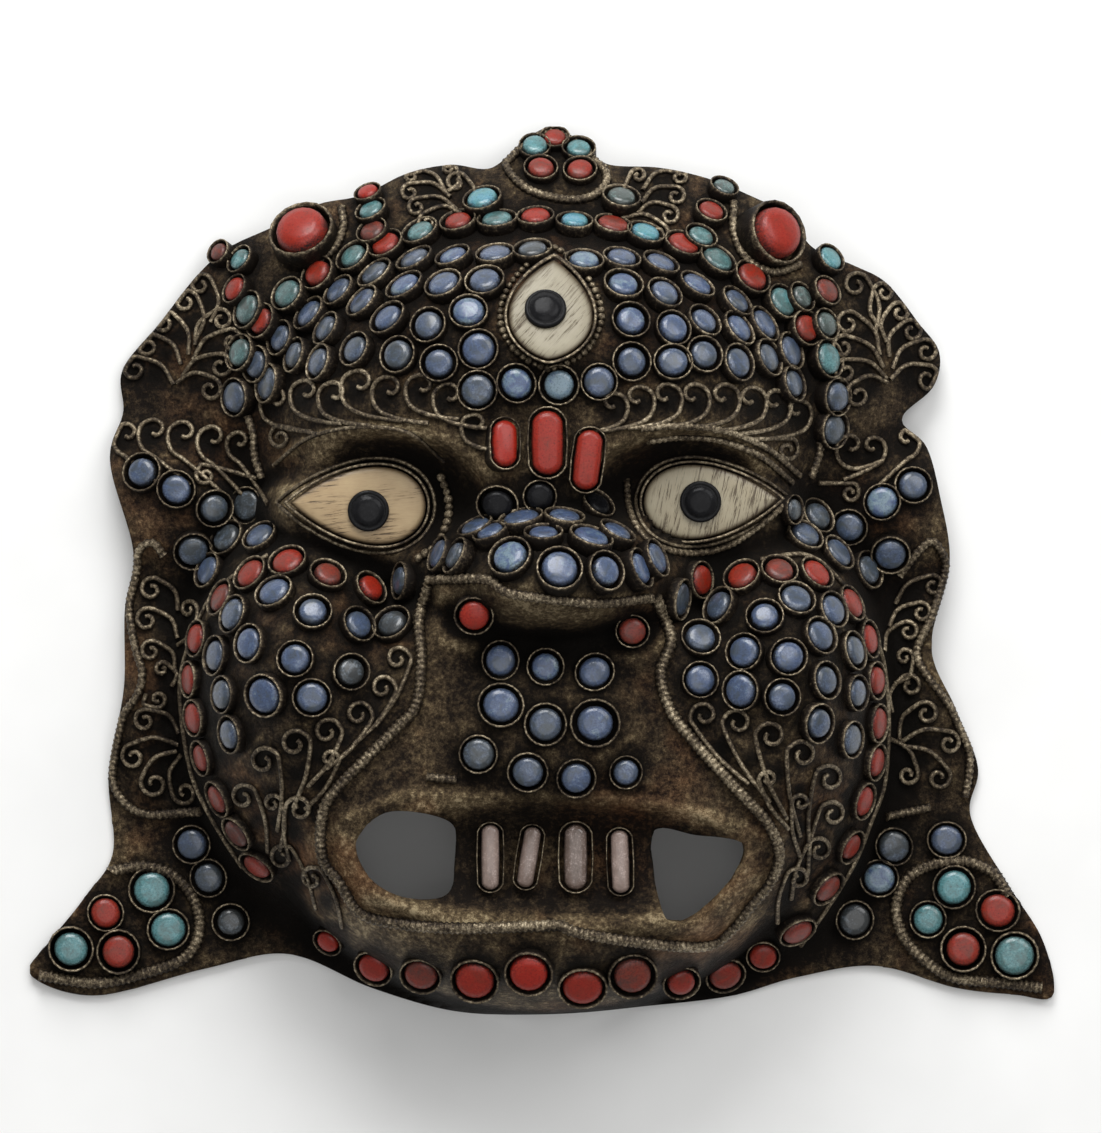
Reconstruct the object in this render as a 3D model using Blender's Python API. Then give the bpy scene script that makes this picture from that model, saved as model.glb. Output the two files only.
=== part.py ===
"""A wrathful three-eyed face mask in hammered brass, set with lapis, coral, turquoise and bone.

The mask lies face up. X runs to the viewer's right, Y to the crown and Z out of the face. The face
is a free form, so its outline, its relief and the places of its stones are drawn in millimetres on a
face of DRAWN_WIDTH by DRAWN_DEPTH, and the two sizes below scale the drawing. The sheet's wall, the
collars, the stones and the clearances are sizes of their own.
"""
import math

import bmesh
import bpy
import numpy as np
from mathutils import Vector
from mathutils.geometry import delaunay_2d_cdt

# The whole mask, in metres.
MASK_WIDTH = 0.2073
MASK_DEPTH = 0.0615

# The hammered sheet and the stone settings, in metres.
SHEET_WALL = 0.0015
LEAST_WALL = 0.0009
COLLAR_WALL = 0.0009
COLLAR_HEIGHT = 0.0022
POCKET_FLOOR = 0.0007
STUD_HEIGHT = 0.0027
SMALL_COLLAR = 0.0040
STONE_CROWN = 0.0013
SEAT_GAP = 0.0003
COLLAR_SPACING = 0.0006
BORDER_SPACING = 0.0009

# The three bone eyes with their pupils, and the four teeth.
EYE_COLLAR_WALL = 0.0016
EYE_COLLAR_HEIGHT = 0.0030
EYE_PLATE = 0.0024
PUPIL_RADIUS = 0.0042
PUPIL_HEIGHT = 0.0026
TOOTH_HALF_WIDTH = 0.0033
TOOTH_HALF_LENGTH = 0.0074
TOOTH_CROWN = 0.0022

# The two large corals beside the crown, and the three long ones over the nose.
CROWN_CORAL_RADIUS = 0.0066
CROWN_CORAL_RISE = 0.0046
CROWN_CORAL_DRUM = 0.0048
LONG_CORAL_CROWN = 0.0024

# Shares of a piece's own size: the girdle of a stone under its crown, the flat top that is left
# inside its shoulder, the bevel of an eye's edge, and how far a collar shrinks in one round.
GIRDLE_SHARE = 0.25
SMALL_SHOULDER = 0.62
LARGE_SHOULDER = 0.5
EYE_BEVEL_SHARE = 0.4
EYE_EDGE_SHARE = 0.8
SHRINK_SHARE = 0.96
SHRINK_ROUNDS = 20
PUPIL_TIERS = ((1.0, 0.0), (1.0, 0.35), (0.82, 0.8), (0.4, 1.0))

# Spacing of the mesh over the sheet's front, its back and its edges.
FRONT_MESH = 0.0070
BACK_MESH = 0.0074
EDGE_MESH = 0.0054
STEEPEST_WALL = 2.6
PRESS_ROUNDS = 14
PRESS_SHARE = 0.8

# The drawing's own size, in its millimetres, and the step over which its slope is read.
DRAWN_WIDTH = 207.3
DRAWN_DEPTH = 61.5
DRAWN_WALL = 1.5
DRAWN_CENTRE = (0.39, -0.1)
DRAWN_REACH = (106, 92)
CORNER_MERGE = 1e-7
SLOPE_STEP = 0.5

SCALE = MASK_WIDTH / DRAWN_WIDTH
RISE = (MASK_DEPTH - SHEET_WALL) / (DRAWN_DEPTH - DRAWN_WALL)

# The outline, clockwise from the crown's tip. A smooth curve runs through it.
OUTLINE = (
    (2, 89.6), (9, 86.2), (13.5, 81.9), (24, 81.2), (34, 79), (43, 75.3), (50, 71.6), (55, 65),
    (63.5, 61.4), (70, 58), (76.5, 50), (80.8, 44), (79.5, 37), (73, 30.5), (78, 25), (80.7, 15),
    (82.8, 1), (79, -15.5), (84, -28), (88.7, -40), (87.2, -50), (95, -64), (101.8, -75),
    (103.9, -86.2), (96, -86), (84, -84.6), (68, -80.2), (52, -82.5), (38, -86.4), (18, -88.6),
    (0, -89.7), (-17, -89.4), (-34, -84.7), (-51, -77.8), (-68, -80.8), (-90, -86.2),
    (-103.3, -82), (-99.5, -75.5), (-92, -66), (-86.5, -57), (-87.4, -41), (-84.2, -24),
    (-84, -8), (-82.2, 4), (-87, 22), (-84.4, 32), (-84.6, 40.5), (-77, 50), (-69.5, 59.5),
    (-63, 65.2), (-54, 69.3), (-45, 73.8), (-36, 75.6), (-27, 80), (-18, 81.8), (-10, 81), (-4, 86.2),
)
LEFT_MOUTH = (
    (-36.5, -54), (-30, -48), (-18, -50), (-16.8, -57), (-18.5, -64.5), (-27, -65), (-34, -61),
)
RIGHT_MOUTH = ((22.3, -52.5), (31, -52.7), (40.6, -54.5), (39, -61.5), (32, -68.6), (25, -69.2))

# The forms hammered out of the sheet: centre, half width, reach up, reach down, foot, rise,
# fullness (a larger one is flatter on top with steeper sides) and the blend into what lies under it.
FORMS = (
    ((2, 40), 80, 49.5, 60, 0, 26, 2.5, 5),
    ((70, 13), 17, 17, 17, 3, 7, 2.0, 4),
    ((-72, 13), 18, 17, 17, 3, 7, 2.0, 4),
    ((79, -20), 9, 26, 30, 0, 6, 2.0, 3),
    ((-78, -20), 9, 26, 30, 0, 6, 2.0, 3),
    ((0, 30), 62, 46, 55, 0, 43, 3.5, 6),
    ((1, -38), 62, 45, 53, 0, 42, 8.0, 6),
    ((-46, -23), 27, 40, 45, 4, 42, 2.2, 7),
    ((45.5, -24), 26, 41, 52, 4, 42, 2.2, 7),
)
SOCKETS = (
    ((-36, 13.5), 25, 14.5, 27, 13),
    ((33.5, 13.5), 24, 14.5, 27, 13),
    ((2, -58.5), 45, 13.5, 34.5, 10),
)
MOUNDS = (
    ((-36.5, 12), 20, 12, 12, 14, 14.5, 5.0, 3),
    ((34, 12), 19.5, 12, 12, 14, 14.5, 5.0, 3),
    ((1.5, 24), 16, 12, 13, 30, 10.5, 3.0, 4),
    ((1.5, -31), 24, 18, 15.5, 34, 12.5, 4.0, 4),
    ((2.5, -3), 28, 18, 13, 34, 26, 1.8, 4),
)

# Settings in rows: name, half width of the collar as a share of the small one, how many, guide points.
STUD_ROWS = (
    ("band", 0.90, 9, ((-60.6, 44.4), (-55.5, 49.7), (-44, 59), (-23.7, 66.9), (-8.5, 69.4))),
    ("band", 0.90, 10, ((-0.8, 69.6), (20.8, 66.6), (42, 57.6), (57.2, 42.3))),
    ("forehead", 0.96, 10, ((-1.6, 64.8), (-24.6, 61.3), (-45.5, 50.8), (-56.8, 40.4), (-60.6, 33.8))),
    ("forehead", 0.96, 7, ((-12.8, 56.7), (-26.5, 55.9), (-41.8, 47.4), (-52.4, 36.2))),
    ("forehead", 0.96, 4, ((-14.2, 49.6), (-25, 48.6), (-36.1, 43.5))),
    ("forehead", 0.96, 3, ((-12.1, 43), (-19.9, 40.8), (-27.8, 41.2))),
    ("forehead", 0.96, 4, ((-12.3, 35.5), (-0.4, 36.9), (11.7, 36.4))),
    ("forehead", 0.96, 8, ((9.8, 62.2), (23.7, 60.4), (38.8, 53.2), (49.8, 43.8), (51, 36.6))),
    ("forehead", 0.96, 5, ((16.8, 55.6), (24.6, 54), (38.4, 47.2), (44.2, 41.2))),
    ("forehead", 0.96, 4, ((17.9, 48.2), (26.1, 46.8), (38, 40))),
    ("forehead", 0.96, 2, ((18.1, 40.8), (26.1, 39.4))),
    ("temple", 0.85, 2, ((57.6, 34.8), (57.6, 28.3))),
    ("crown_side", 0.80, 2, ((-33.9, 73), (-33, 68.4))),
    ("crown_side", 0.80, 3, ((36.4, 75.2), (34.2, 71.6), (32.2, 67.8))),
    ("crown_foot", 1.05, 2, ((-11.4, 74.6), (17.2, 74.6))),
    ("crown_corner", 0.90, 3, ((-60.4, 61.4), (-61.4, 56), (-60, 50.6))),
    ("crown_corner", 0.90, 3, ((57.8, 60.2), (57.6, 54.7), (59, 49))),
    ("bridge", 0.85, 3, ((-8.6, 12.6), (0.8, 13.4), (10.8, 11))),
    ("nose", 0.92, 4, ((-12.3, 7.6), (-3.5, 8.6), (5.2, 8.6), (14.8, 6.6))),
    ("nose", 0.92, 5, ((-20.6, 3), (-8.6, 2.4), (8, 2.2), (22.6, 1.6))),
    ("cheek_left", 0.95, 5, ((-35.8, -4.6), (-44, -1.4), (-57.2, -1.6), (-63.6, -6.4))),
    ("cheek_left", 0.95, 6, ((-67.6, -14), (-69.2, -26), (-64.5, -44.5), (-60, -52.4))),
    ("cheek_left", 1.00, 3, ((-45.1, -9), (-52.4, -7.2), (-59.8, -10.2))),
    ("cheek_left", 1.00, 4, ((-38.3, -14.2), (-47.6, -17.4), (-56.4, -16.2), (-63.2, -18.2))),
    ("cheek_left", 1.00, 4, ((-38.2, -22), (-45.6, -25.2), (-54, -24.8), (-62, -26.6))),
    ("cheek_right", 0.95, 4, ((40.6, -1.6), (54.6, -1.6), (61, -7.1))),
    ("cheek_right", 0.95, 8, ((64.8, -14), (66.9, -32), (61.6, -55.1), (52, -70.6))),
    ("cheek_right", 1.00, 4, ((37.8, -10.2), (44.8, -9.4), (50.8, -7.8), (56.8, -9.6))),
    ("cheek_right", 1.00, 4, ((32.6, -15.4), (40.8, -16.6), (48.8, -17), (56.8, -16.2))),
    ("cheek_right", 1.00, 5, ((31.9, -23), (40.2, -24.4), (54.6, -25), (62.4, -24.5))),
    ("ear_left", 0.95, 4, ((-80, 18.8), (-73.2, 16.1), (-65.6, 12.8), (-58.8, 12.9))),
    ("ear_left", 0.95, 4, ((-69.6, 4.2), (-66, -2.2), (-62.4, 5.4), (-55.6, 6.2))),
    ("ear_right", 0.95, 4, ((75, 16.9), (69, 13), (61.8, 10.2), (55, 10.8))),
    ("ear_right", 0.95, 3, ((71.6, 3.5), (65.2, 0.2), (58.6, 2.4))),
    ("ear_lobe_left", 1.00, 3, ((-70.3, -54.6), (-67, -62.3), (-62.8, -71.2))),
    ("ear_lobe_right", 1.00, 3, ((71.5, -54.8), (68.2, -62.8), (63.9, -70.8))),
)
STONE_ROWS = (
    ("upper_lip_lapis", 1.02, 3, ((-7.9, -19), (1.2, -19.8), (10.6, -20.6))),
    ("middle_lip_lapis", 1.02, 3, ((-7.8, -28.4), (1.4, -29.4), (10.8, -30))),
    ("lower_lip_lapis", 1.00, 4, ((-12.1, -37.2), (-2.3, -39.4), (7.2, -40.2), (16.6, -40))),
    ("chin_coral", 1.00, 8, ((-33.8, -77), (-12.9, -80), (8.5, -80.6), (28.1, -80), (37.4, -78))),
    ("nose_lapis", 0.98, 3, ((-5.6, -3.4), (3.6, -4.8), (12.6, -4.6))),
    ("nostril_coral", 0.86, 2, ((-13.4, -9.4), (18, -11.2))),
    ("crown_stone", 0.82, 2, ((-1.4, 83.4), (7, 82.8))),
    ("crown_stone_lower", 0.82, 2, ((-0.6, 78.4), (8.2, 78))),
    ("left_pendant_stone", 0.92, 2, ((-78.6, -64.8), (-75.3, -73.2))),
    ("left_pendant_outer_stone", 0.92, 3, ((-87.6, -69.2), (-84.8, -77.6), (-94.4, -77))),
    ("right_pendant_stone", 0.92, 2, ((83.6, -64.1), (79, -72.6))),
    ("right_pendant_outer_stone", 0.92, 3, ((92.2, -69.4), (87.2, -77.6), (95.8, -78.2))),
)
LONG_CORALS = (
    ((-7.4, 24.4), 0.0029, 0.0056, 4),
    ((1.3, 24.8), 0.0034, 0.0068, 0),
    ((9.8, 23.2), 0.0031, 0.0060, -8),
)
TOOTH_PLACES = (((-10.2, -57.2), 0), ((-1.8, -57.1), -9), ((6.8, -57.1), 0), ((15.2, -57.6), 0))
CROWN_CORALS = (("left_crown_coral", (-47.2, 65.9), 115, 42), ("right_crown_coral", (46, 66.6), 26, 40))
CROWN_TOP = ((3.2, 86.4), 0.7)

# The eyes: corner of the bone, its other end, half widths to either side, and where it is widest.
EYES = (
    ("left_eye", (-50.6, 13.4), (-21.8, 12.6), 9.0, 8.6, 0.63, 0.46),
    ("right_eye", (47.6, 14.2), (19.4, 13.4), 8.8, 8.6, 0.63, 0.46),
    ("third_eye", (2.8, 62.4), (1.4, 40.6), 10.2, 10.0, 0.80, 0.66),
)
PUPILS = (("left_pupil", (-34.2, 12)), ("right_pupil", (32, 13.4)), ("third_pupil", (1.2, 51.2)))

# Small stones that hold turquoise; the others without lapis in their name are coral.
TURQUOISE_STONES = (
    "crown_stone_1", "crown_stone_2", "left_pendant_stone_1", "left_pendant_stone_2",
    "left_pendant_outer_stone_3", "right_pendant_stone_1", "right_pendant_stone_2",
    "right_pendant_outer_stone_3",
)

STUD_SIDES = 5
SMALL_SIDES = 6
CORAL_SIDES = 8
EYE_SIDES = 12

BRASS = ("brass", (0.16, 0.115, 0.06), 0.5, 1.0)
CORAL = ("coral", (0.62, 0.07, 0.04), 0.3, 0.0)
LAPIS = ("lapis", (0.12, 0.2, 0.46), 0.35, 0.0)
TURQUOISE = ("turquoise", (0.13, 0.42, 0.42), 0.35, 0.0)
BONE = ("bone", (0.68, 0.6, 0.45), 0.45, 0.0)
JET = ("jet", (0.012, 0.012, 0.014), 0.15, 0.0)
TOOTH = ("tooth", (0.42, 0.34, 0.3), 0.3, 0.0)


def smooth_max(a, b, blend):
    """The higher of two surfaces, rounded where they meet."""
    return np.maximum(a, b) + np.maximum(blend - np.abs(a - b), 0) ** 2 / (4 * blend)


def dome(x, y, form):
    """One hammered form, which falls away fast outside its reach."""
    (cx, cy), half_width, up, down, foot, rise, fullness, _ = form
    reach = np.where(y > cy, up, down)
    spread = np.hypot((x - cx) / half_width, (y - cy) / reach)
    return foot + rise * (1 - spread ** fullness)


def relief(x, y):
    """Height of the sheet's front over the flat rim, in the drawing's millimetres."""
    height = np.maximum(9 * (1 - (x / 98) ** 2 - (y / 86) ** 2), 0)
    for form in FORMS:
        height = smooth_max(height, dome(x, y, form), form[-1])
    for (cx, cy), half_width, half_height, floor, rim in SOCKETS:
        spread = np.hypot((x - cx) / half_width, (y - cy) / half_height)
        height = -smooth_max(-height, -(floor + rim * spread ** 4), 3)
    for form in MOUNDS:
        height = smooth_max(height, dome(x, y, form), form[-1])
    return height


def front(x, y):
    """Points in metres on the sheet's front for places of the drawing."""
    x = np.asarray(x, float)
    y = np.asarray(y, float)
    z = SHEET_WALL + relief(x, y) * RISE
    return np.stack([(x - DRAWN_CENTRE[0]) * SCALE, (y - DRAWN_CENTRE[1]) * SCALE, z], axis=-1)


def slope_frame(x, y):
    """The point on the front, and two directions along the sheet and one out of it."""
    here = front(x, y)
    along = front(x + SLOPE_STEP, y) - front(x - SLOPE_STEP, y)
    across = front(x, y + SLOPE_STEP) - front(x, y - SLOPE_STEP)
    out = np.cross(along, across)
    out /= np.linalg.norm(out)
    along /= np.linalg.norm(along)
    return here, along, np.cross(out, along), out


def back_height(points):
    """The sheet's back under points of the front, one wall deep and never below the table."""
    x = points[:, 0] / SCALE + DRAWN_CENTRE[0]
    y = points[:, 1] / SCALE + DRAWN_CENTRE[1]
    run = 2 * SLOPE_STEP * SCALE
    rise_x = (front(x + SLOPE_STEP, y) - front(x - SLOPE_STEP, y))[:, 2] / run
    rise_y = (front(x, y + SLOPE_STEP) - front(x, y - SLOPE_STEP))[:, 2] / run
    steep = np.minimum(np.sqrt(1 + rise_x ** 2 + rise_y ** 2), STEEPEST_WALL)
    return np.maximum(points[:, 2] - SHEET_WALL * steep, 0)


def curve_samples(points, closed):
    """Close samples of a smooth curve through a few points, and the run to each."""
    count = len(points)
    places = [np.array(point, float) for point in points]
    samples = []
    for index in range(count if closed else count - 1):
        if closed:
            a, b, c, d = (places[(index + shift) % count] for shift in (-1, 0, 1, 2))
        else:
            b, c = places[index], places[index + 1]
            a = places[index - 1] if index else 2 * b - c
            d = places[index + 2] if index + 2 < count else 2 * c - b
        for t in np.arange(0, 1, 0.05):
            samples.append(0.5 * (2 * b + (c - a) * t + (2 * a - 5 * b + 4 * c - d) * t ** 2
                                  + (3 * b - a - 3 * c + d) * t ** 3))
    samples.append(places[0] if closed else places[-1])
    samples = np.array(samples)
    run = np.concatenate([[0], np.cumsum(np.linalg.norm(np.diff(samples, axis=0), axis=1))])
    return samples, run


def places_along(samples, run, marks):
    """Places at given runs along a sampled curve."""
    return np.stack([np.interp(marks, run, samples[:, axis]) for axis in (0, 1)], axis=-1)


def closed_loop(points, spacing):
    """Evenly spaced places round a closed curve."""
    samples, run = curve_samples(points, True)
    wanted = max(3, round(run[-1] / spacing))
    return places_along(samples, run, np.linspace(0, run[-1], wanted + 1)[:-1])


def row_places(guide, count):
    """A number of places spread evenly along a row's guide."""
    samples, run = curve_samples(guide, False)
    return places_along(samples, run, np.linspace(0, run[-1], count))


def ring_in_frame(frame, half_width, half_length, sides, turn=0.0):
    """Corners of a flat oval around a frame's point."""
    here, along, across, _ = frame
    corners = []
    for index in range(sides):
        angle = 2 * math.pi * (index + 0.5) / sides
        u = half_width * math.cos(angle)
        v = half_length * math.sin(angle)
        along_part = u * math.cos(turn) - v * math.sin(turn)
        across_part = u * math.sin(turn) + v * math.cos(turn)
        corners.append(here + along_part * along + across_part * across)
    return np.array(corners)


def almond(corner, end, left, right, rise_power, fall_power, sides):
    """Outline of an eye: pointed at its corner and rounded at its other end, in the drawing."""
    corner = np.array(corner, float)
    axis = np.array(end, float) - corner
    side = np.array([-axis[1], axis[0]]) / np.hypot(*axis)
    widest = rise_power / (rise_power + fall_power)
    peak = widest ** rise_power * (1 - widest) ** fall_power
    half = sides // 2
    outline = []
    for index in range(sides):
        angle = math.pi * index / half
        t = 0.5 - 0.5 * math.cos(angle)
        width = t ** rise_power * (1 - t) ** fall_power / peak
        reach = left if index < half else -right
        outline.append(corner + t * axis + reach * width * side)
    return np.array(outline)[::-1]


def counter_clockwise(loop):
    """The same loop, run the way that the triangulation asks."""
    after = np.roll(loop, -1, axis=0)
    area = (loop[:, 0] * after[:, 1] - after[:, 0] * loop[:, 1]).sum()
    return loop if area > 0 else loop[::-1]


def drawn(points):
    """Places in the drawing under points in metres."""
    return points[:, :2] / SCALE + np.array(DRAWN_CENTRE)


def distance_to_loop(points, loop):
    """Shortest way from each point to a closed loop."""
    start = loop
    step = np.roll(loop, -1, axis=0) - start
    offset = points[:, None, :] - start[None]
    share = np.clip((offset * step).sum(-1) / (step * step).sum(-1), 0, 1)
    nearest = offset - share[..., None] * step
    return np.sqrt((nearest ** 2).sum(-1)).min(axis=1)


def inside(points, loop):
    """Which places lie inside a closed loop."""
    x, y = points[:, 0, None], points[:, 1, None]
    x1, y1 = loop[:, 0], loop[:, 1]
    x2, y2 = np.roll(x1, -1), np.roll(y1, -1)
    crosses = (y1 > y) != (y2 > y)
    run = np.where(y2 == y1, 1, y2 - y1)
    return (crosses & (x < x1 + (y - y1) / run * (x2 - x1))).sum(axis=1) % 2 == 1


def clear_between(first, second):
    """Least gap between two collars at their feet and at their rims, negative where they overlap."""
    gaps = []
    for ring, other in zip(first, second):
        foot, other_foot = drawn(ring), drawn(other)
        if inside(foot, other_foot).any() or inside(other_foot, foot).any():
            return -1.0
        gaps.append(min(distance_to_loop(ring, other).min(), distance_to_loop(other, ring).min()))
        plan_gap = min(distance_to_loop(foot, other_foot).min(), distance_to_loop(other_foot, foot).min())
        gaps.append(2 * plan_gap * SCALE)
    return min(gaps)


class Setting:
    """One collar on the sheet: its frame, size and what it holds."""

    def __init__(self, name, place, half_width, half_length, sides, turn=0.0, kind="stud"):
        self.name = name
        self.kind = kind
        self.frame = slope_frame(*place)
        self.half_width = half_width
        self.half_length = half_length
        self.sides = sides
        self.turn = turn
        self.trim = 1.0

    def ring(self, inset=0.0, lift=0.0):
        """A ring of the collar, drawn in by a wall and lifted out of the sheet."""
        corners = ring_in_frame(self.frame, self.half_width * self.trim - inset,
                                self.half_length * self.trim - inset, self.sides, self.turn)
        return corners + lift * self.frame[-1]

    def footprint(self):
        return drawn(self.ring())


class Eye(Setting):
    """A bone eye's collar, which stands straight up on the face."""

    def __init__(self, name, corner, end, left, right, rise_power, fall_power):
        self.name = name
        self.kind = "eye"
        self.shape = (corner, end, left, right, rise_power, fall_power)
        self.sides = EYE_SIDES
        self.trim = 1.0
        outline = almond(*self.shape, self.sides)
        self.centre = outline.mean(axis=0)
        self.frame = slope_frame(*self.centre)

    def ring(self, inset=0.0, lift=0.0):
        corner, end, left, right, rise_power, fall_power = self.shape
        axis = np.array(end, float) - np.array(corner, float)
        axis /= np.hypot(*axis)
        inset = inset / SCALE
        corner = np.array(corner, float) + axis * inset * 2.0
        end = np.array(end, float) - axis * inset
        outline = almond(corner, end, left - inset, right - inset, rise_power, fall_power, self.sides)
        here, _, _, out = self.frame
        flat = front(outline[:, 0], outline[:, 1])
        flat[:, 2] = here[2] - ((flat - here)[:, :2] @ out[:2]) / out[2]
        return flat + lift * np.array([0, 0, 1])


def all_settings():
    """Every collar on the mask, the large ones first so that the small ones give way."""
    found = [Eye(*eye) for eye in EYES]
    for name, place, direction, tilt in CROWN_CORALS:
        setting = Setting(name, place, CROWN_CORAL_RADIUS, CROWN_CORAL_RADIUS, CORAL_SIDES, kind="drum")
        angle, lean = math.radians(direction), math.radians(tilt)
        out = np.array([math.sin(lean) * math.cos(angle), math.sin(lean) * math.sin(angle), math.cos(lean)])
        along = np.array([-math.sin(angle), math.cos(angle), 0])
        setting.frame = (setting.frame[0], along, np.cross(out, along), out)
        found.append(setting)
    for index, (place, half_width, half_length, turn) in enumerate(LONG_CORALS):
        found.append(Setting(f"brow_coral_{index + 1}", place, half_width, half_length, CORAL_SIDES,
                             math.radians(turn), "coral"))
    for index, (place, turn) in enumerate(TOOTH_PLACES):
        found.append(Setting(f"tooth_{index + 1}", place, TOOTH_HALF_WIDTH, TOOTH_HALF_LENGTH,
                             CORAL_SIDES, math.radians(turn), "tooth"))
    for name, share, count, guide in STONE_ROWS:
        for index, place in enumerate(row_places(guide, count)):
            radius = SMALL_COLLAR * share
            found.append(Setting(f"{name}_{index + 1}", place, radius, radius, SMALL_SIDES, kind="stone"))
    place, share = CROWN_TOP
    radius = SMALL_COLLAR * share
    found.append(Setting("crown_stone_top", place, radius, radius, SMALL_SIDES, kind="stone"))
    for name, share, count, guide in STUD_ROWS:
        for place in row_places(guide, count):
            radius = SMALL_COLLAR * share
            found.append(Setting(name, place, radius, radius, STUD_SIDES))
    return found


def fit_settings(found, borders):
    """Shrink neighbouring collars together until each has its space, the small ones first."""
    large = ("eye", "drum", "tooth", "coral")
    rings = [(setting.ring(), setting.ring(0, STUD_HEIGHT)) for setting in found]
    feet = [drawn(foot) for foot, _ in rings]
    centres = np.array([foot.mean(axis=0) for foot in feet])
    spans = [max(np.ptp(foot, axis=0)) for foot in feet]
    pairs = []
    for first in range(len(found)):
        for second in range(first + 1, len(found)):
            if np.abs(centres[first] - centres[second]).max() < (spans[first] + spans[second]) / 2 + 3:
                pairs.append((first, second))
    for _ in range(SHRINK_ROUNDS):
        tight = set()
        for pair in pairs:
            if clear_between(rings[pair[0]], rings[pair[1]]) < COLLAR_SPACING:
                small = [index for index in pair if found[index].kind not in large]
                tight.update(small or [index for index in pair if found[index].kind != "eye"])
        for index, (ring, _) in enumerate(rings):
            foot = drawn(ring)
            near = min(distance_to_loop(foot, border).min() for border in borders)
            outside = not inside(foot, borders[0]).all()
            if (outside or near * SCALE < BORDER_SPACING) and found[index].kind != "eye":
                tight.add(index)
        if not tight:
            break
        for index in tight:
            found[index].trim *= SHRINK_SHARE
            rings[index] = (found[index].ring(), found[index].ring(0, STUD_HEIGHT))
    return found


def hexagonal_grid(spacing):
    """Places of a hexagonal grid over the drawing."""
    rows = []
    pitch = spacing / SCALE
    height = pitch * math.sqrt(3) / 2
    wide, tall = DRAWN_REACH
    for index, y in enumerate(np.arange(-tall, tall, height)):
        start = -wide + (index % 2) * pitch / 2
        rows.extend((x, y) for x in np.arange(start, wide, pitch))
    return np.array(rows)


def sheet_mesh(borders, footprints, spacing):
    """Triangles of one side of the sheet around its borders and footprints."""
    outline = borders[0]
    grid = hexagonal_grid(spacing)
    grid = grid[inside(grid, outline)]
    margin = 0.5 * spacing / SCALE
    for loop in borders + footprints:
        near = distance_to_loop(grid, loop) < margin
        grid = grid[~near]
    for loop in borders[1:] + footprints:
        grid = grid[~inside(grid, loop)]
    places = [Vector(place) for loop in borders + footprints for place in loop]
    faces = []
    start = 0
    for loop in borders + footprints:
        faces.append(list(range(start, start + len(loop))))
        start += len(loop)
    places.extend(Vector(place) for place in grid)
    corners, _, triangles, origins, _, owners = delaunay_2d_cdt(places, [], faces, 0, CORNER_MERGE)
    first_of = {}
    for index, origin in enumerate(origins):
        for old in origin:
            first_of[old] = index
    kept = []
    whole = []
    openings = set(range(1, len(borders)))
    cut = set(range(1, len(borders) + len(footprints)))
    for triangle, owner in zip(triangles, owners):
        if 0 in owner and not openings.intersection(owner):
            whole.append(tuple(triangle))
            if not cut.intersection(owner):
                kept.append(tuple(triangle))
    return np.array([tuple(corner) for corner in corners]), kept, first_of, faces, whole


def height_on(points, triangles, places):
    """For each place, the triangle under it and the triangle's height and corner shares there."""
    a, b, c = (points[triangles[:, corner]] for corner in range(3))
    area = (b[:, 0] - a[:, 0]) * (c[:, 1] - a[:, 1]) - (b[:, 1] - a[:, 1]) * (c[:, 0] - a[:, 0])
    found = np.full(len(places), -1)
    heights = np.zeros(len(places))
    for index, (x, y) in enumerate(places):
        share_a = ((b[:, 0] - x) * (c[:, 1] - y) - (b[:, 1] - y) * (c[:, 0] - x)) / area
        share_b = ((c[:, 0] - x) * (a[:, 1] - y) - (c[:, 1] - y) * (a[:, 0] - x)) / area
        least = np.minimum(np.minimum(share_a, share_b), 1 - share_a - share_b)
        best = int(np.argmax(least))
        if least[best] > -1e-3:
            found[index] = best
            heights[index] = (share_a[best] * a[best, 2] + share_b[best] * b[best, 2]
                              + (1 - share_a[best] - share_b[best]) * c[best, 2])
    return found, heights


def press_back(points, triangles, skin, skin_triangles):
    """Lower the back wherever its facets would leave less than the least wall under the front's."""
    found, heights = height_on(skin, skin_triangles, points[:, :2])
    here = found >= 0
    points[here, 2] = np.minimum(points[here, 2], heights[here] - LEAST_WALL)
    middles = skin[skin_triangles].mean(axis=1)
    edges = (skin[skin_triangles] + skin[np.roll(skin_triangles, 1, axis=1)]).reshape(-1, 3) / 2
    samples = np.concatenate([skin, middles, edges])
    found, _ = height_on(points, triangles, samples[:, :2])
    samples = samples[found >= 0]
    for _ in range(PRESS_ROUNDS):
        found, heights = height_on(points, triangles, samples[:, :2])
        excess = heights + LEAST_WALL - samples[:, 2]
        drop = np.zeros(len(points))
        for index in np.nonzero((excess > 1e-5) & (found >= 0))[0]:
            corners = triangles[found[index]]
            drop[corners] = np.maximum(drop[corners], PRESS_SHARE * excess[index])
        if not drop.any():
            break
        points[:, 2] = np.maximum(points[:, 2] - drop, 0)


def add_ring(mesh, ring):
    return [mesh.verts.new(corner) for corner in ring]


def join_rings(mesh, lower, upper):
    """A band of quads between two rings that run the same way, facing away from their middle."""
    count = len(lower)
    for index in range(count):
        after = (index + 1) % count
        mesh.faces.new((lower[index], lower[after], upper[after], upper[index]))


def finish_object(name, mesh, material):
    """Turn a bmesh into an object with its own material."""
    bmesh.ops.recalc_face_normals(mesh, faces=mesh.faces)
    data = bpy.data.meshes.new(name)
    mesh.to_mesh(data)
    mesh.free()
    label, colour, roughness, metallic = material
    finish = bpy.data.materials.get(label) or bpy.data.materials.new(label)
    finish.use_nodes = True
    shader = finish.node_tree.nodes["Principled BSDF"]
    shader.inputs["Base Color"].default_value = (*colour, 1)
    shader.inputs["Roughness"].default_value = roughness
    shader.inputs["Metallic"].default_value = metallic
    data.materials.append(finish)
    made = bpy.data.objects.new(name, data)
    bpy.context.scene.collection.objects.link(made)
    return made


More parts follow.
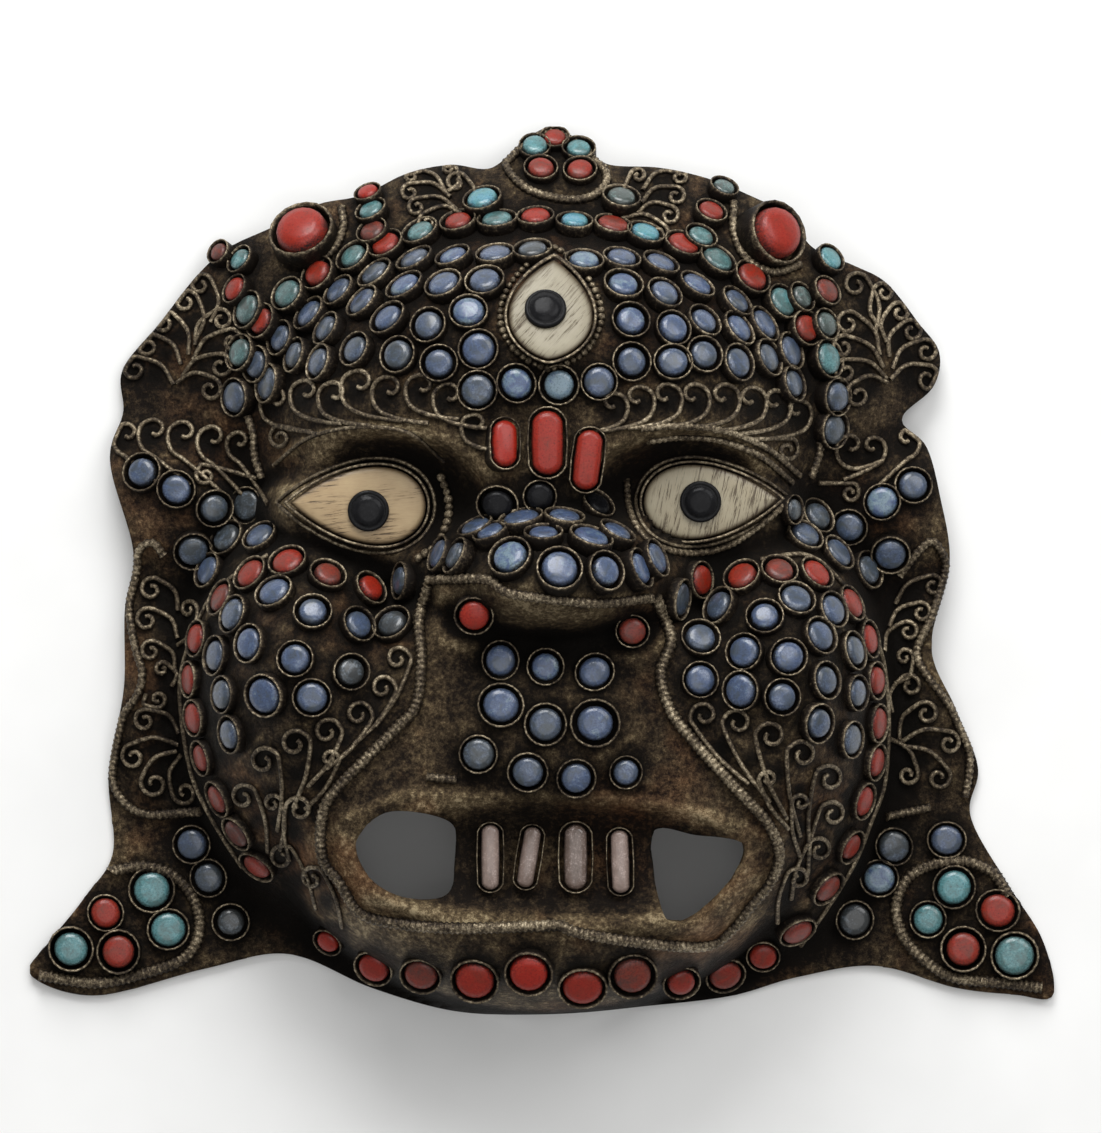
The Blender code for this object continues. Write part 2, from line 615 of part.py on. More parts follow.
def collar_sizes(setting):
    """Height of a collar, its wall and the height of its pocket's floor."""
    if setting.kind == "eye":
        return EYE_COLLAR_HEIGHT, EYE_COLLAR_WALL, POCKET_FLOOR
    if setting.kind == "drum":
        return CROWN_CORAL_DRUM, COLLAR_WALL, CROWN_CORAL_DRUM - COLLAR_HEIGHT
    return COLLAR_HEIGHT, COLLAR_WALL, POCKET_FLOOR


def make_shell(found, borders):
    """The hammered sheet with its soldered collars, one closed body."""
    footprints = [setting.footprint() for setting in found]
    mesh = bmesh.new()
    corners, triangles, first_of, loops, whole = sheet_mesh(borders, footprints, FRONT_MESH)
    upper = add_ring(mesh, front(corners[:, 0], corners[:, 1]))
    for triangle in triangles:
        mesh.faces.new([upper[corner] for corner in triangle])
    for setting, loop in zip(found, loops[len(borders):]):
        base = [upper[first_of[corner]] for corner in loop]
        if setting.kind != "drum":
            for vertex, seat in zip(base, setting.ring()):
                vertex.co.z = max(seat[2], SHEET_WALL)
        if setting.kind == "stud":
            top = add_ring(mesh, setting.ring(COLLAR_WALL / 2, STUD_HEIGHT))
            join_rings(mesh, base, top)
            mesh.faces.new(top)
            continue
        height, wall, floor = collar_sizes(setting)
        rim = add_ring(mesh, setting.ring(0, height))
        lip = add_ring(mesh, setting.ring(wall, height))
        bed = add_ring(mesh, setting.ring(wall, floor))
        join_rings(mesh, base, rim)
        join_rings(mesh, rim, lip)
        join_rings(mesh, lip, bed)
        mesh.faces.new(bed)
    skin = np.array([vertex.co for vertex in upper])
    under, back_triangles, back_first, back_loops, _ = sheet_mesh(borders, [], BACK_MESH)
    points = front(under[:, 0], under[:, 1])
    points[:, 2] = back_height(points)
    press_back(points, np.array(back_triangles), skin, np.array(whole))
    lower = add_ring(mesh, points)
    for triangle in back_triangles:
        mesh.faces.new([lower[corner] for corner in reversed(triangle)])
    for loop, back_loop in zip(loops, back_loops):
        ring = [upper[first_of[corner]] for corner in loop]
        back_ring = [lower[back_first[corner]] for corner in back_loop]
        join_rings(mesh, back_ring, ring)
    return finish_object("mask_shell", mesh, BRASS)


def make_stone(setting, material, crown, shoulder=SMALL_SHOULDER):
    """A cabochon in its pocket: straight sides, one sloping shoulder and a flat top."""
    height, wall, floor = collar_sizes(setting)
    inset = wall + SEAT_GAP
    girdle = height + GIRDLE_SHARE * crown
    smallest = min(setting.half_width, setting.half_length) * setting.trim - inset
    mesh = bmesh.new()
    foot = add_ring(mesh, setting.ring(inset, floor + SEAT_GAP))
    waist = add_ring(mesh, setting.ring(inset, girdle))
    top = add_ring(mesh, setting.ring(inset + smallest * (1 - shoulder), height + crown))
    mesh.faces.new(foot[::-1])
    join_rings(mesh, foot, waist)
    join_rings(mesh, waist, top)
    mesh.faces.new(top)
    return finish_object(setting.name, mesh, material)


def make_eye(setting):
    """A bone plate that lies in its eye's collar."""
    inset = EYE_COLLAR_WALL + SEAT_GAP
    mesh = bmesh.new()
    foot = add_ring(mesh, setting.ring(inset, POCKET_FLOOR + SEAT_GAP))
    bed = POCKET_FLOOR + SEAT_GAP
    edge = add_ring(mesh, setting.ring(inset, EYE_PLATE * EYE_EDGE_SHARE + bed))
    top = add_ring(mesh, setting.ring(inset + EYE_PLATE * EYE_BEVEL_SHARE, EYE_PLATE + bed))
    mesh.faces.new(foot[::-1])
    join_rings(mesh, foot, edge)
    join_rings(mesh, edge, top)
    mesh.faces.new(top)
    return finish_object(setting.name, mesh, BONE)


def make_pupil(name, place, eye):
    """A domed jet button glued on a bone eye."""
    here, along, across, out = eye.frame
    spot = front(*place)
    base_height = here[2] - ((spot - here)[:2] @ out[:2]) / out[2]
    lift = EYE_PLATE + POCKET_FLOOR + 2 * SEAT_GAP
    spot = np.array([spot[0], spot[1], base_height + lift])
    frame = (spot, along, across, out)
    rings = []
    mesh = bmesh.new()
    for share, rise in PUPIL_TIERS:
        ring = ring_in_frame(frame, PUPIL_RADIUS * share, PUPIL_RADIUS * share, CORAL_SIDES)
        rings.append(add_ring(mesh, ring + rise * PUPIL_HEIGHT * out))
    mesh.faces.new(rings[0][::-1])
    for lower, upper in zip(rings, rings[1:]):
        join_rings(mesh, lower, upper)
    mesh.faces.new(rings[-1])
    return finish_object(name, mesh, JET)


def stone_material(name):
    """Which stone a small setting holds."""
    if "lapis" in name:
        return LAPIS
    if name in TURQUOISE_STONES:
        return TURQUOISE
    return CORAL


def build():
    """Clear the scene and build every piece."""
    for old in list(bpy.data.objects):
        bpy.data.objects.remove(old)
    borders = [counter_clockwise(closed_loop(loop, EDGE_MESH / SCALE))
               for loop in (OUTLINE, LEFT_MOUTH, RIGHT_MOUTH)]
    found = fit_settings(all_settings(), borders)
    make_shell(found, borders)
    eyes = {}
    for setting in found:
        if setting.kind == "eye":
            eyes[setting.name.split("_")[0]] = setting
            make_eye(setting)
        elif setting.kind == "drum":
            make_stone(setting, CORAL, CROWN_CORAL_RISE, LARGE_SHOULDER)
        elif setting.kind == "coral":
            make_stone(setting, CORAL, LONG_CORAL_CROWN, LARGE_SHOULDER)
        elif setting.kind == "tooth":
            make_stone(setting, TOOTH, TOOTH_CROWN, LARGE_SHOULDER)
        elif setting.kind == "stone":
            make_stone(setting, stone_material(setting.name), STONE_CROWN)
    for name, place in PUPILS:
        make_pupil(name, place, eyes[name.split("_")[0]])


build()
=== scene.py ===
# %% [markdown]
# A wrathful three-eyed mask of hammered brass
#
# The real mask is a sheet of brass, hammered up from behind into a face and blackened with age.
# Wires, ropes of twisted wire and about two hundred thin collars are soldered on its front, and each
# collar holds a polished stone. This file dresses the plain solids of the mask, which are loaded first.
# Every piece below is made in the same frame as those solids, so nothing is fitted afterwards.

# %% Load the frame
import math
import random

import bmesh
import bpy
import numpy as np
from mathutils import Matrix, Vector, kdtree, noise


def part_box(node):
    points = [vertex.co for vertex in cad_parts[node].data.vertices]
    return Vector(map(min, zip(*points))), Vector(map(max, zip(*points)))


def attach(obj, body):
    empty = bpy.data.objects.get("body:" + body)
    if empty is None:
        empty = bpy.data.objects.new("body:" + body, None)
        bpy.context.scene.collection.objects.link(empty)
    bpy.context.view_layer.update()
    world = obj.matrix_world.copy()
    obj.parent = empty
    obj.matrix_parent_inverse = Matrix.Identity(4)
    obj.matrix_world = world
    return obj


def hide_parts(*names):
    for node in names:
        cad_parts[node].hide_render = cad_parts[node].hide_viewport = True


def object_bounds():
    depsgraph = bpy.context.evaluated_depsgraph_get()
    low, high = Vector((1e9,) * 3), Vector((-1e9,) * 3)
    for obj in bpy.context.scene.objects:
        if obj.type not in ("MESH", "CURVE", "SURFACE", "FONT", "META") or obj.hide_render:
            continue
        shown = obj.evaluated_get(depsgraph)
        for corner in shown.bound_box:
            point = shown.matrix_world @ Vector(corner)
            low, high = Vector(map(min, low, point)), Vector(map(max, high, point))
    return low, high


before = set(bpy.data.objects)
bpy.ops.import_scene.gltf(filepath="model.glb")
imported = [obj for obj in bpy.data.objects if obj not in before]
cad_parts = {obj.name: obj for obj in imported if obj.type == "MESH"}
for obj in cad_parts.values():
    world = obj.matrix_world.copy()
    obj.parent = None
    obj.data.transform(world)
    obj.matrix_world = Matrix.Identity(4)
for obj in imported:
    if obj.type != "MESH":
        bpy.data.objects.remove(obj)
cad_low, cad_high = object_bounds()
print("solids loaded:", len(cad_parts), "box in mm:", [round(1000 * s, 1) for s in cad_high - cad_low])

# %% [markdown]
# The drawing
#
# A goldsmith draws the face flat before hammering it, and so does this file. Places are in
# millimetres on that drawing, X to the right and Y to the crown. The drawing's own centre is a little
# off the middle of the sheet.

# %% Sizes of the drawing and the sheet
MM = 0.001
CENTRE_X = 0.39
CENTRE_Y = -0.1
SHEET_WALL = 1.5
CURVE_SAMPLES = 16
random.seed(7)

OUTLINE = (
    (2, 89.6), (9, 86.2), (13.5, 81.9), (24, 81.2), (34, 79), (43, 75.3), (50, 71.6), (55, 65),
    (63.5, 61.4), (70, 58), (76.5, 50), (80.8, 44), (79.5, 37), (73, 30.5), (78, 25), (80.7, 15),
    (82.8, 1), (79, -15.5), (84, -28), (88.7, -40), (87.2, -50), (95, -64), (101.8, -75),
    (103.9, -86.2), (96, -86), (84, -84.6), (68, -80.2), (52, -82.5), (38, -86.4), (18, -88.6),
    (0, -89.7), (-17, -89.4), (-34, -84.7), (-51, -77.8), (-68, -80.8), (-90, -86.2),
    (-103.3, -82), (-99.5, -75.5), (-92, -66), (-86.5, -57), (-87.4, -41), (-84.2, -24),
    (-84, -8), (-82.2, 4), (-87, 22), (-84.4, 32), (-84.6, 40.5), (-77, 50), (-69.5, 59.5),
    (-63, 65.2), (-54, 69.3), (-45, 73.8), (-36, 75.6), (-27, 80), (-18, 81.8), (-10, 81), (-4, 86.2),
)
LEFT_MOUTH = ((-36.5, -54), (-30, -48), (-18, -50), (-16.8, -57), (-18.5, -64.5), (-27, -65), (-34, -61))
RIGHT_MOUTH = ((22.3, -52.5), (31, -52.7), (40.6, -54.5), (39, -61.5), (32, -68.6), (25, -69.2))


def curve_through(points, spacing, closed=False):
    """Evenly spaced places on a smooth curve through a few points."""
    spots = [np.array(point, float) for point in points]
    count = len(spots)
    if closed:
        spots = [spots[-1]] + spots + spots[:2]
    else:
        spots = [2 * spots[0] - spots[1]] + spots + [2 * spots[-1] - spots[-2]]
    t = np.linspace(0, 1, CURVE_SAMPLES, endpoint=False)[:, None]
    runs = []
    for a, b, c, d in zip(spots, spots[1:], spots[2:], spots[3:]):
        bend = 2 * a - 5 * b + 4 * c - d
        runs.append(0.5 * (2 * b + (c - a) * t + bend * t ** 2 + (3 * b - a - 3 * c + d) * t ** 3))
    samples = np.concatenate(runs + [spots[count + 1 if closed else -2][None]])
    run = np.concatenate([[0], np.cumsum(np.linalg.norm(np.diff(samples, axis=0), axis=1))])
    steps = max(3, round(run[-1] / spacing))
    marks = np.linspace(0, run[-1], steps + 1)
    if closed:
        marks = marks[:-1]
    return np.stack([np.interp(marks, run, samples[:, axis]) for axis in (0, 1)], axis=-1)


def inside(places, loop):
    """Which places lie inside a closed loop."""
    x, y = places[:, 0], places[:, 1]
    found = np.zeros(len(places), bool)
    for (x1, y1), (x2, y2) in zip(loop, np.roll(loop, -1, axis=0)):
        if y1 != y2:
            found ^= ((y1 > y) != (y2 > y)) & (x < x1 + (y - y1) / (y2 - y1) * (x2 - x1))
    return found


def nearest_on(places, loop):
    """The closest point of a closed loop to each place."""
    step = np.roll(loop, -1, axis=0) - loop
    share = ((places[:, None] - loop) * step).sum(2) / (step * step).sum(1)
    feet = loop + np.clip(share, 0, 1)[..., None] * step
    closest = np.argmin(((feet - places[:, None]) ** 2).sum(2), axis=1)
    return feet[np.arange(len(places)), closest]


def held_inside(path, margin):
    """A path with its stray places pulled back from the edge of the sheet."""
    feet = nearest_on(path, OUTLINE_LOOP)
    within = inside(path, OUTLINE_LOOP)[:, None]
    away = np.where(within, path - feet, feet - path)
    gap = np.maximum(np.hypot(*away.T), 1e-6)[:, None]
    return np.where(within & (gap > margin), path, feet + away / gap * margin)


OUTLINE_LOOP = curve_through(OUTLINE, 1.0, closed=True)
MOUTH_LOOPS = [curve_through(loop, 1.0, closed=True) for loop in (LEFT_MOUTH, RIGHT_MOUTH)]
print("outline:", len(OUTLINE_LOOP), "places")

# %% [markdown]
# The forms of the face
#
# A repousse worker sinks the big forms first: forehead, jaw, cheeks, nose. Each one here is a dome
# with its own centre, reach and fullness, and neighbours blend as hammered metal does. Sunken
# sockets hold the eyes and the teeth. These are the same forms as the solid's, so that whatever is
# soldered on stays on its surface.

# %% Large forms
# The low swell of the whole sheet: its rise, half width and half height.
SWELL = (9, 98, 86)
# Centre, half width, reach up, reach down, foot, rise, fullness and the blend into what lies under.
FORMS = (
    ((2, 40), 80, 49.5, 60, 0, 26, 2.5, 5),
    ((70, 13), 17, 17, 17, 3, 7, 2.0, 4),
    ((-72, 13), 18, 17, 17, 3, 7, 2.0, 4),
    ((79, -20), 9, 26, 30, 0, 6, 2.0, 3),
    ((-78, -20), 9, 26, 30, 0, 6, 2.0, 3),
    ((0, 30), 62, 46, 55, 0, 43, 3.5, 6),
    ((1, -38), 62, 45, 53, 0, 42, 8.0, 6),
    ((-46, -23), 27, 40, 45, 4, 42, 2.2, 7),
    ((45.5, -24), 26, 41, 52, 4, 42, 2.2, 7),
)
# Centre, half width, half height, height of the floor and rise of the rim.
SOCKETS = (
    ((-36, 13.5), 25, 14.5, 27, 13),
    ((33.5, 13.5), 24, 14.5, 27, 13),
    ((2, -58.5), 45, 13.5, 34.5, 10),
)
MOUNDS = (
    ((-36.5, 12), 20, 12, 12, 14, 14.5, 5.0, 3),
    ((34, 12), 19.5, 12, 12, 14, 14.5, 5.0, 3),
    ((1.5, 24), 16, 12, 13, 30, 10.5, 3.0, 4),
    ((1.5, -31), 24, 18, 15.5, 34, 12.5, 4.0, 4),
    ((2.5, -3), 28, 18, 13, 34, 26, 1.8, 4),
)
SOCKET_BLEND = 3


def smooth_max(a, b, blend):
    """The higher of two surfaces, rounded where they meet."""
    return np.maximum(a, b) + np.maximum(blend - np.abs(a - b), 0) ** 2 / (4 * blend)


def dome(x, y, form):
    """One hammered form, which falls away fast outside its reach."""
    (cx, cy), half_width, up, down, foot, rise, fullness, _ = form
    spread = np.hypot((x - cx) / half_width, (y - cy) / np.where(y > cy, up, down))
    return foot + rise * (1 - spread ** fullness)


def large_forms(x, y):
    """Height of the smooth face over its flat rim."""
    rise, swell_x, swell_y = SWELL
    height = np.maximum(rise * (1 - (x / swell_x) ** 2 - (y / swell_y) ** 2), 0)
    for form in FORMS:
        height = smooth_max(height, dome(x, y, form), form[-1])
    for (cx, cy), half_width, half_height, floor, rim in SOCKETS:
        spread = np.hypot((x - cx) / half_width, (y - cy) / half_height)
        height = -smooth_max(-height, -(floor + rim * spread ** 4), SOCKET_BLEND)
    for form in MOUNDS:
        height = smooth_max(height, dome(x, y, form), form[-1])
    return height


print("nose stands", round(float(large_forms(np.array(2.5), np.array(-3.0))), 1), "mm over the rim")

# %% [markdown]
# Folds, lids and lips
#
# After the big forms the worker turns the sheet over and chases lines from the front, which leaves
# raised folds over the eyes, ridges beside the mouth, and rounded lips. Each is a soft ridge or a
# groove along a short path.

# %% Chased folds
# Path, half width and height: a groove has a height under zero.
FOLDS = (
    (((-54, 21), (-46, 26.2), (-36, 28.2), (-26, 27), (-19, 21.5)), 1.1, 0.9),
    (((49, 18), (43, 22), (34, 24.2), (25, 23.2), (18, 20)), 1.3, 0.6),
    (((-51, 8), (-42, 1), (-33, -1), (-23, 1)), 1.4, 0.6),
    (((18, 5), (26, 0.6), (36, 0.6), (48, 8)), 1.4, 0.6),
    (((-26, -8), (-27.5, -16), (-30, -25), (-37, -33), (-43, -40), (-47, -49), (-44.5, -58)), 2.0, 0.7),
    (((27, -10), (28.5, -17), (31, -26), (37.5, -33), (45, -42), (48.5, -53), (46, -63)), 2.0, 0.7),
    (((-38, -49), (-28, -45), (-14, -44.6), (3, -44.4), (20, -46), (32, -48.5), (42, -51.5)), 1.2, 0.8),
    (((-34, -65), (-20, -67.5), (0, -68.2), (20, -70.5), (33, -71)), 1.6, 0.8),
    (((-19, -4), (-20.5, -9), (-18.5, -14), (-13, -15.5)), 1.6, 1.2),
    (((23, -8), (24.5, -13), (21, -17), (15, -17.5)), 1.6, 1.2),
    (((16.5, -43.4), (19.5, -42.2), (23, -43.2)), 0.9, 0.9),
    (((-9, 30), (-5, 20), (-4, 12)), 1.0, -0.6),
    (((6.5, 30), (6, 20), (6, 12)), 1.0, -0.6),
)
FOLD_PATHS = [curve_through(path, 1.5) for path, _, _ in FOLDS]
# Half the way over which the sheet's slope is read.
SLOPE_STEP = 0.8


def distance_to_path(x, y, path):
    """Shortest way from each place to a path."""
    places = np.stack([np.ravel(x), np.ravel(y)], axis=-1)
    least = np.full(len(places), 1e9)
    for start, end in zip(path, path[1:]):
        step = end - start
        offset = places - start
        share = np.clip((offset @ step) / (step @ step), 0, 1)
        least = np.minimum(least, np.hypot(*(offset - share[:, None] * step).T))
    return least.reshape(np.shape(x))


def skin(x, y):
    """Height of the finished front over the drawing, in millimetres, with its folds."""
    x = np.asarray(x, float)
    y = np.asarray(y, float)
    height = SHEET_WALL + large_forms(x, y)
    for (_, width, rise), path in zip(FOLDS, FOLD_PATHS):
        height = height + rise * np.exp(-(distance_to_path(x, y, path) / width) ** 2)
    return np.maximum(height, SHEET_WALL)


def out_of_sheet(x, y):
    """The direction square to the sheet at one place."""
    rise_x = float(skin(x + SLOPE_STEP, y) - skin(x - SLOPE_STEP, y)) / (2 * SLOPE_STEP)
    rise_y = float(skin(x, y + SLOPE_STEP) - skin(x, y - SLOPE_STEP)) / (2 * SLOPE_STEP)
    return Vector((-rise_x, -rise_y, 1)).normalized()


def in_metres(x, y, z):
    """A point of the drawing in the mask's own frame."""
    return Vector(((x - CENTRE_X) * MM, (y - CENTRE_Y) * MM, z * MM))


print("folds:", len(FOLDS))

# %% [markdown]
# Shader maths
#
# A finish is a small sum: so much dark brown, so much gold, more where the metal is rubbed. The class
# below wraps a socket of the shader, so that such sums are written as Python writes them.

# %% One class for shader maths
class Flow:
    """One value that runs through a material's nodes."""

    def __init__(self, tree, socket=None):
        self.tree = tree
        self.socket = socket

    def make(self, kind, settings=None, sockets=None, output=0):
        """Add one node: its settings first, then the values or links of its sockets."""
        node = self.tree.nodes.new("ShaderNode" + kind)
        for name, value in (settings or {}).items():
            if name == "stops":
                set_stops(node.color_ramp, value)
            else:
                setattr(node, name, value)
        for name, value in (sockets or {}).items():
            if isinstance(value, Flow):
                self.tree.links.new(value.socket, node.inputs[name])
            else:
                node.inputs[name].default_value = value
        return Flow(self.tree, node.outputs[output])

    def maths(self, operation, first, second):
        """A Math node on two values, or on a value and a number."""
        return self.make("Math", {"operation": operation}, {0: first, 1: second})

    def __add__(self, other):
        return self.maths("ADD", self, other)

    def __sub__(self, other):
        return self.maths("SUBTRACT", self, other)

    def __rsub__(self, other):
        return self.maths("SUBTRACT", other, self)

    def __mul__(self, other):
        return self.maths("MULTIPLY", self, other)

    def __pow__(self, other):
        return self.maths("POWER", self, other)

    __radd__ = __add__
    __rmul__ = __mul__

    def clamped(self):
        """This value, held between 0 and 1."""
        return self.make("Clamp", {}, {"Value": self})

    def ramp(self, *stops):
        """A colour or a grey value that changes along this value."""
        return self.make("ValToRGB", {"stops": stops}, {"Fac": self})

    def mixed(self, first, second):
        """A blend of two colours by this value."""
        sockets = {0: self, 6: opaque(first), 7: opaque(second)}
        return self.make("Mix", {"data_type": "RGBA"}, sockets, output=2)


def opaque(colour):
    """A colour with its fourth number; a value that runs through nodes stays as it is."""
    return colour if isinstance(colour, Flow) else (*colour, 1)


def set_stops(ramp, stops):
    """Give a colour ramp its places and colours."""
    while len(ramp.elements) < len(stops):
        ramp.elements.new(0.5)
    for element, (place, colour) in zip(ramp.elements, stops):
        element.position = place
        element.color = opaque(colour)


def start_finish(name):
    """A new material with its shader, and a value to begin from."""
    material = bpy.data.materials.new(name)
    material.use_nodes = True
    return material, material.node_tree.nodes["Principled BSDF"], Flow(material.node_tree)


def link(shader, **sockets):
    """Join values or set numbers on the shader's own sockets."""
    for name, value in sockets.items():
        socket = shader.inputs[name.replace("_", " ")]
        if isinstance(value, Flow):
            value.tree.links.new(value.socket, socket)
        else:
            socket.default_value = value


def own_place(flow):
    """The piece's own coordinates, in metres."""
    return flow.make("TexCoord", output=3)


def stored(flow, name):
    """A number that is stored on the corners of the mesh."""
    return flow.make("Attribute", {"attribute_name": name}, output=2)


def spots(flow, scale, detail=3.0, roughness=0.55, distortion=0.0):
    """Cloudy noise on the piece's own coordinates."""
    return flow.make("TexNoise", {}, {"Vector": own_place(flow), "Scale": scale, "Detail": detail,
                                      "Roughness": roughness, "Distortion": distortion})


print("shader maths ready")

# %% [markdown]
# Old brass
#
# The sheet is nearly black in its hollows, red-brown where the patina is thin and golden where hands
# have rubbed the high places. Two numbers are stored on every corner of the mesh: how proud the metal
# stands there, and how close it lies to something soldered on or how low it lies, where soot and polish
# collect and painted shade darkens it nearly to black.

# %% Finish of the sheet
def brass_sheet():
    """Hammered sheet: dark with soot and painted shade in its hollows and round what is soldered on, russet
    in patches, golden where it is rubbed.
    """
    material, shader, flow = start_finish("old_brass_sheet")
    rub = stored(flow, "rub")
    soot = stored(flow, "soot")
    cloud = spots(flow, 60, detail=5, roughness=0.7)
    grain = spots(flow, 850, detail=6, roughness=0.85)
    warmth = spots(flow, 26, detail=4, roughness=0.65)
    lumps = spots(flow, 230, detail=3, roughness=0.6)
    marks = (cloud - 0.5) * 1.1 + (lumps - 0.5) * 0.8 + (grain - 0.5) * 3
    # Wear lightens the high places; soot and painted shade dull the metal beside collars, wires and in
    # hollows.
    wear_and_painted_light = (rub * 0.6 + marks - soot * 0.42 + 0.16).clamped()
    metal = wear_and_painted_light.ramp((0.0, (0.010, 0.007, 0.005)), (0.3, (0.040, 0.027, 0.016)),
                      (0.6, (0.10, 0.070, 0.038)), (0.85, (0.21, 0.155, 0.086)), (1.0, (0.40, 0.32, 0.19)))
    russet = ((warmth - 0.5) * 5).clamped() * 0.7
    warm = russet.mixed(metal, wear_and_painted_light.ramp((0.0, (0.014, 0.006, 0.004)), (1.0, (0.26, 0.105, 0.04))))
    # Painted shade and soot: the sheet turns near-black beside collars and wires and in its hollows.
    colour = (soot * 0.88).clamped().mixed(warm, (0.004, 0.003, 0.002))
    rough = 0.7 - wear_and_painted_light * 0.25 + (grain - 0.5) * 0.4
    bump = flow.make("Bump", {}, {"Strength": 1.0, "Distance": 0.0012,
                                  "Height": cloud * 0.3 + lumps * 0.5 + grain * 0.4})
    link(shader, Base_Color=colour, Roughness=rough, Metallic=0.55, Normal=bump)
    shader.inputs["Specular IOR Level"].default_value = 0.2
    return material


def brass_wire():
    """Drawn wire and thin collars: greyer than the sheet, brighter along their tops from wear and a painted
    highlight, and darker low down with painted shade.
    """
    material, shader, flow = start_finish("old_brass_wire")
    rub = stored(flow, "rub")
    cloud = spots(flow, 90, detail=4, roughness=0.65)
    grain = spots(flow, 1300, detail=5, roughness=0.8)
    # Wear, with a painted highlight along the tops and painted shade at the feet.
    wear_and_painted_light = (rub * 0.72 + (cloud - 0.5) * 1.4 + (grain - 0.5) * 3 - 0.12).clamped()
    colour = wear_and_painted_light.ramp((0.0, (0.010, 0.007, 0.005)), (0.35, (0.045, 0.033, 0.022)),
                       (0.7, (0.15, 0.117, 0.074)), (1.0, (0.42, 0.35, 0.24)))
    bump = flow.make("Bump", {}, {"Strength": 0.5, "Distance": 0.0003, "Height": grain})
    link(shader, Base_Color=colour, Roughness=0.58 - wear_and_painted_light * 0.2, Metallic=0.5, Normal=bump)
    shader.inputs["Specular IOR Level"].default_value = 0.25
    return material


SHEET_FINISH = brass_sheet()
WIRE_FINISH = brass_wire()
print("brass finishes made")

# %% [markdown]
# Stones and bone
#
# Each stone carries a tint of its own, from dull to bright, and a number that grows towards its
# collar, where dirt has settled and painted shade darkens it. Lapis is a mottled blue with grey veils, coral
# runs from pink-brown to red, turquoise from grey-green to blue-green. The eyes are slips of old bone with
# dark scratches and painted shade along their edges.

# %% Finishes of the stones
def stone_finish(name, tints, dirt_and_shade, veil, veil_share, roughness, coat=0.35, shine=0.5):
    """A polished stone: its own tint, cloudy veils, fine specks, and dirt with painted shade along the
    collar.
    """
    material, shader, flow = start_finish(name)
    tint = stored(flow, "tint")
    edge = stored(flow, "edge")
    cloud = spots(flow, 420, detail=4, roughness=0.65, distortion=0.6)
    speck = spots(flow, 2600, detail=2, roughness=0.7)
    base = (tint + (cloud - 0.5) * 1.4).clamped().ramp(*tints)
    veiled = ((cloud - 0.52) * veil_share * 2 + (speck - 0.54) * 2.2).clamped().mixed(base, veil)
    # Dark specks of dirt, and painted shade that grows towards the collar.
    grime_and_shade = (edge ** 2 * 0.8 + (0.48 - speck) * 2.4 + (cloud - 0.5) * edge * 2.4).clamped()
    colour = grime_and_shade.mixed(veiled, dirt_and_shade)
    rough = roughness + grime_and_shade * 0.35 + (speck - 0.5) * 0.12
    bump = flow.make("Bump", {}, {"Strength": 0.12, "Distance": 0.0003, "Height": cloud * 0.6 + speck * 0.4})
    link(shader, Base_Color=colour, Roughness=rough, Normal=bump)
    shader.inputs["Specular IOR Level"].default_value = shine
    shader.inputs["Coat Weight"].default_value = coat
    shader.inputs["Coat Roughness"].default_value = 0.12
    return material


# Name, tints from dull to bright, colour of dirt and painted shade, veil and its share, roughness, then coat
# and shine.
LAPIS = stone_finish("lapis", ((0.0, (0.024, 0.027, 0.028)), (0.25, (0.042, 0.053, 0.063)),
                               (0.5, (0.047, 0.066, 0.105)), (0.75, (0.05, 0.08, 0.165)),
                               (1.0, (0.13, 0.195, 0.24))),
                     (0.008, 0.007, 0.006), (0.15, 0.18, 0.21), 1.1, 0.3)
CORAL = stone_finish("coral", ((0.0, (0.08, 0.03, 0.024)), (0.3, (0.15, 0.026, 0.016)),
                               (0.6, (0.23, 0.014, 0.005)), (1.0, (0.29, 0.010, 0.003))),
                     (0.014, 0.005, 0.004), (0.22, 0.055, 0.03), 0.6, 0.36, 0.1, 0.35)
TURQUOISE = stone_finish("turquoise", ((0.0, (0.045, 0.06, 0.055)), (0.4, (0.06, 0.13, 0.13)),
                                       (0.75, (0.07, 0.22, 0.24)), (1.0, (0.06, 0.22, 0.31))),
                         (0.01, 0.009, 0.008), (0.2, 0.3, 0.28), 0.9, 0.28)
TOOTH = stone_finish("tooth", ((0.0, (0.10, 0.068, 0.052)), (1.0, (0.29, 0.215, 0.185))),
                     (0.03, 0.018, 0.014), (0.5, 0.42, 0.39), 0.9, 0.25)
JET = stone_finish("jet", ((0.0, (0.005, 0.005, 0.006)), (1.0, (0.013, 0.013, 0.014))),
                   (0.003, 0.003, 0.003), (0.02, 0.02, 0.022), 0.6, 0.2, 0.0, 0.1)


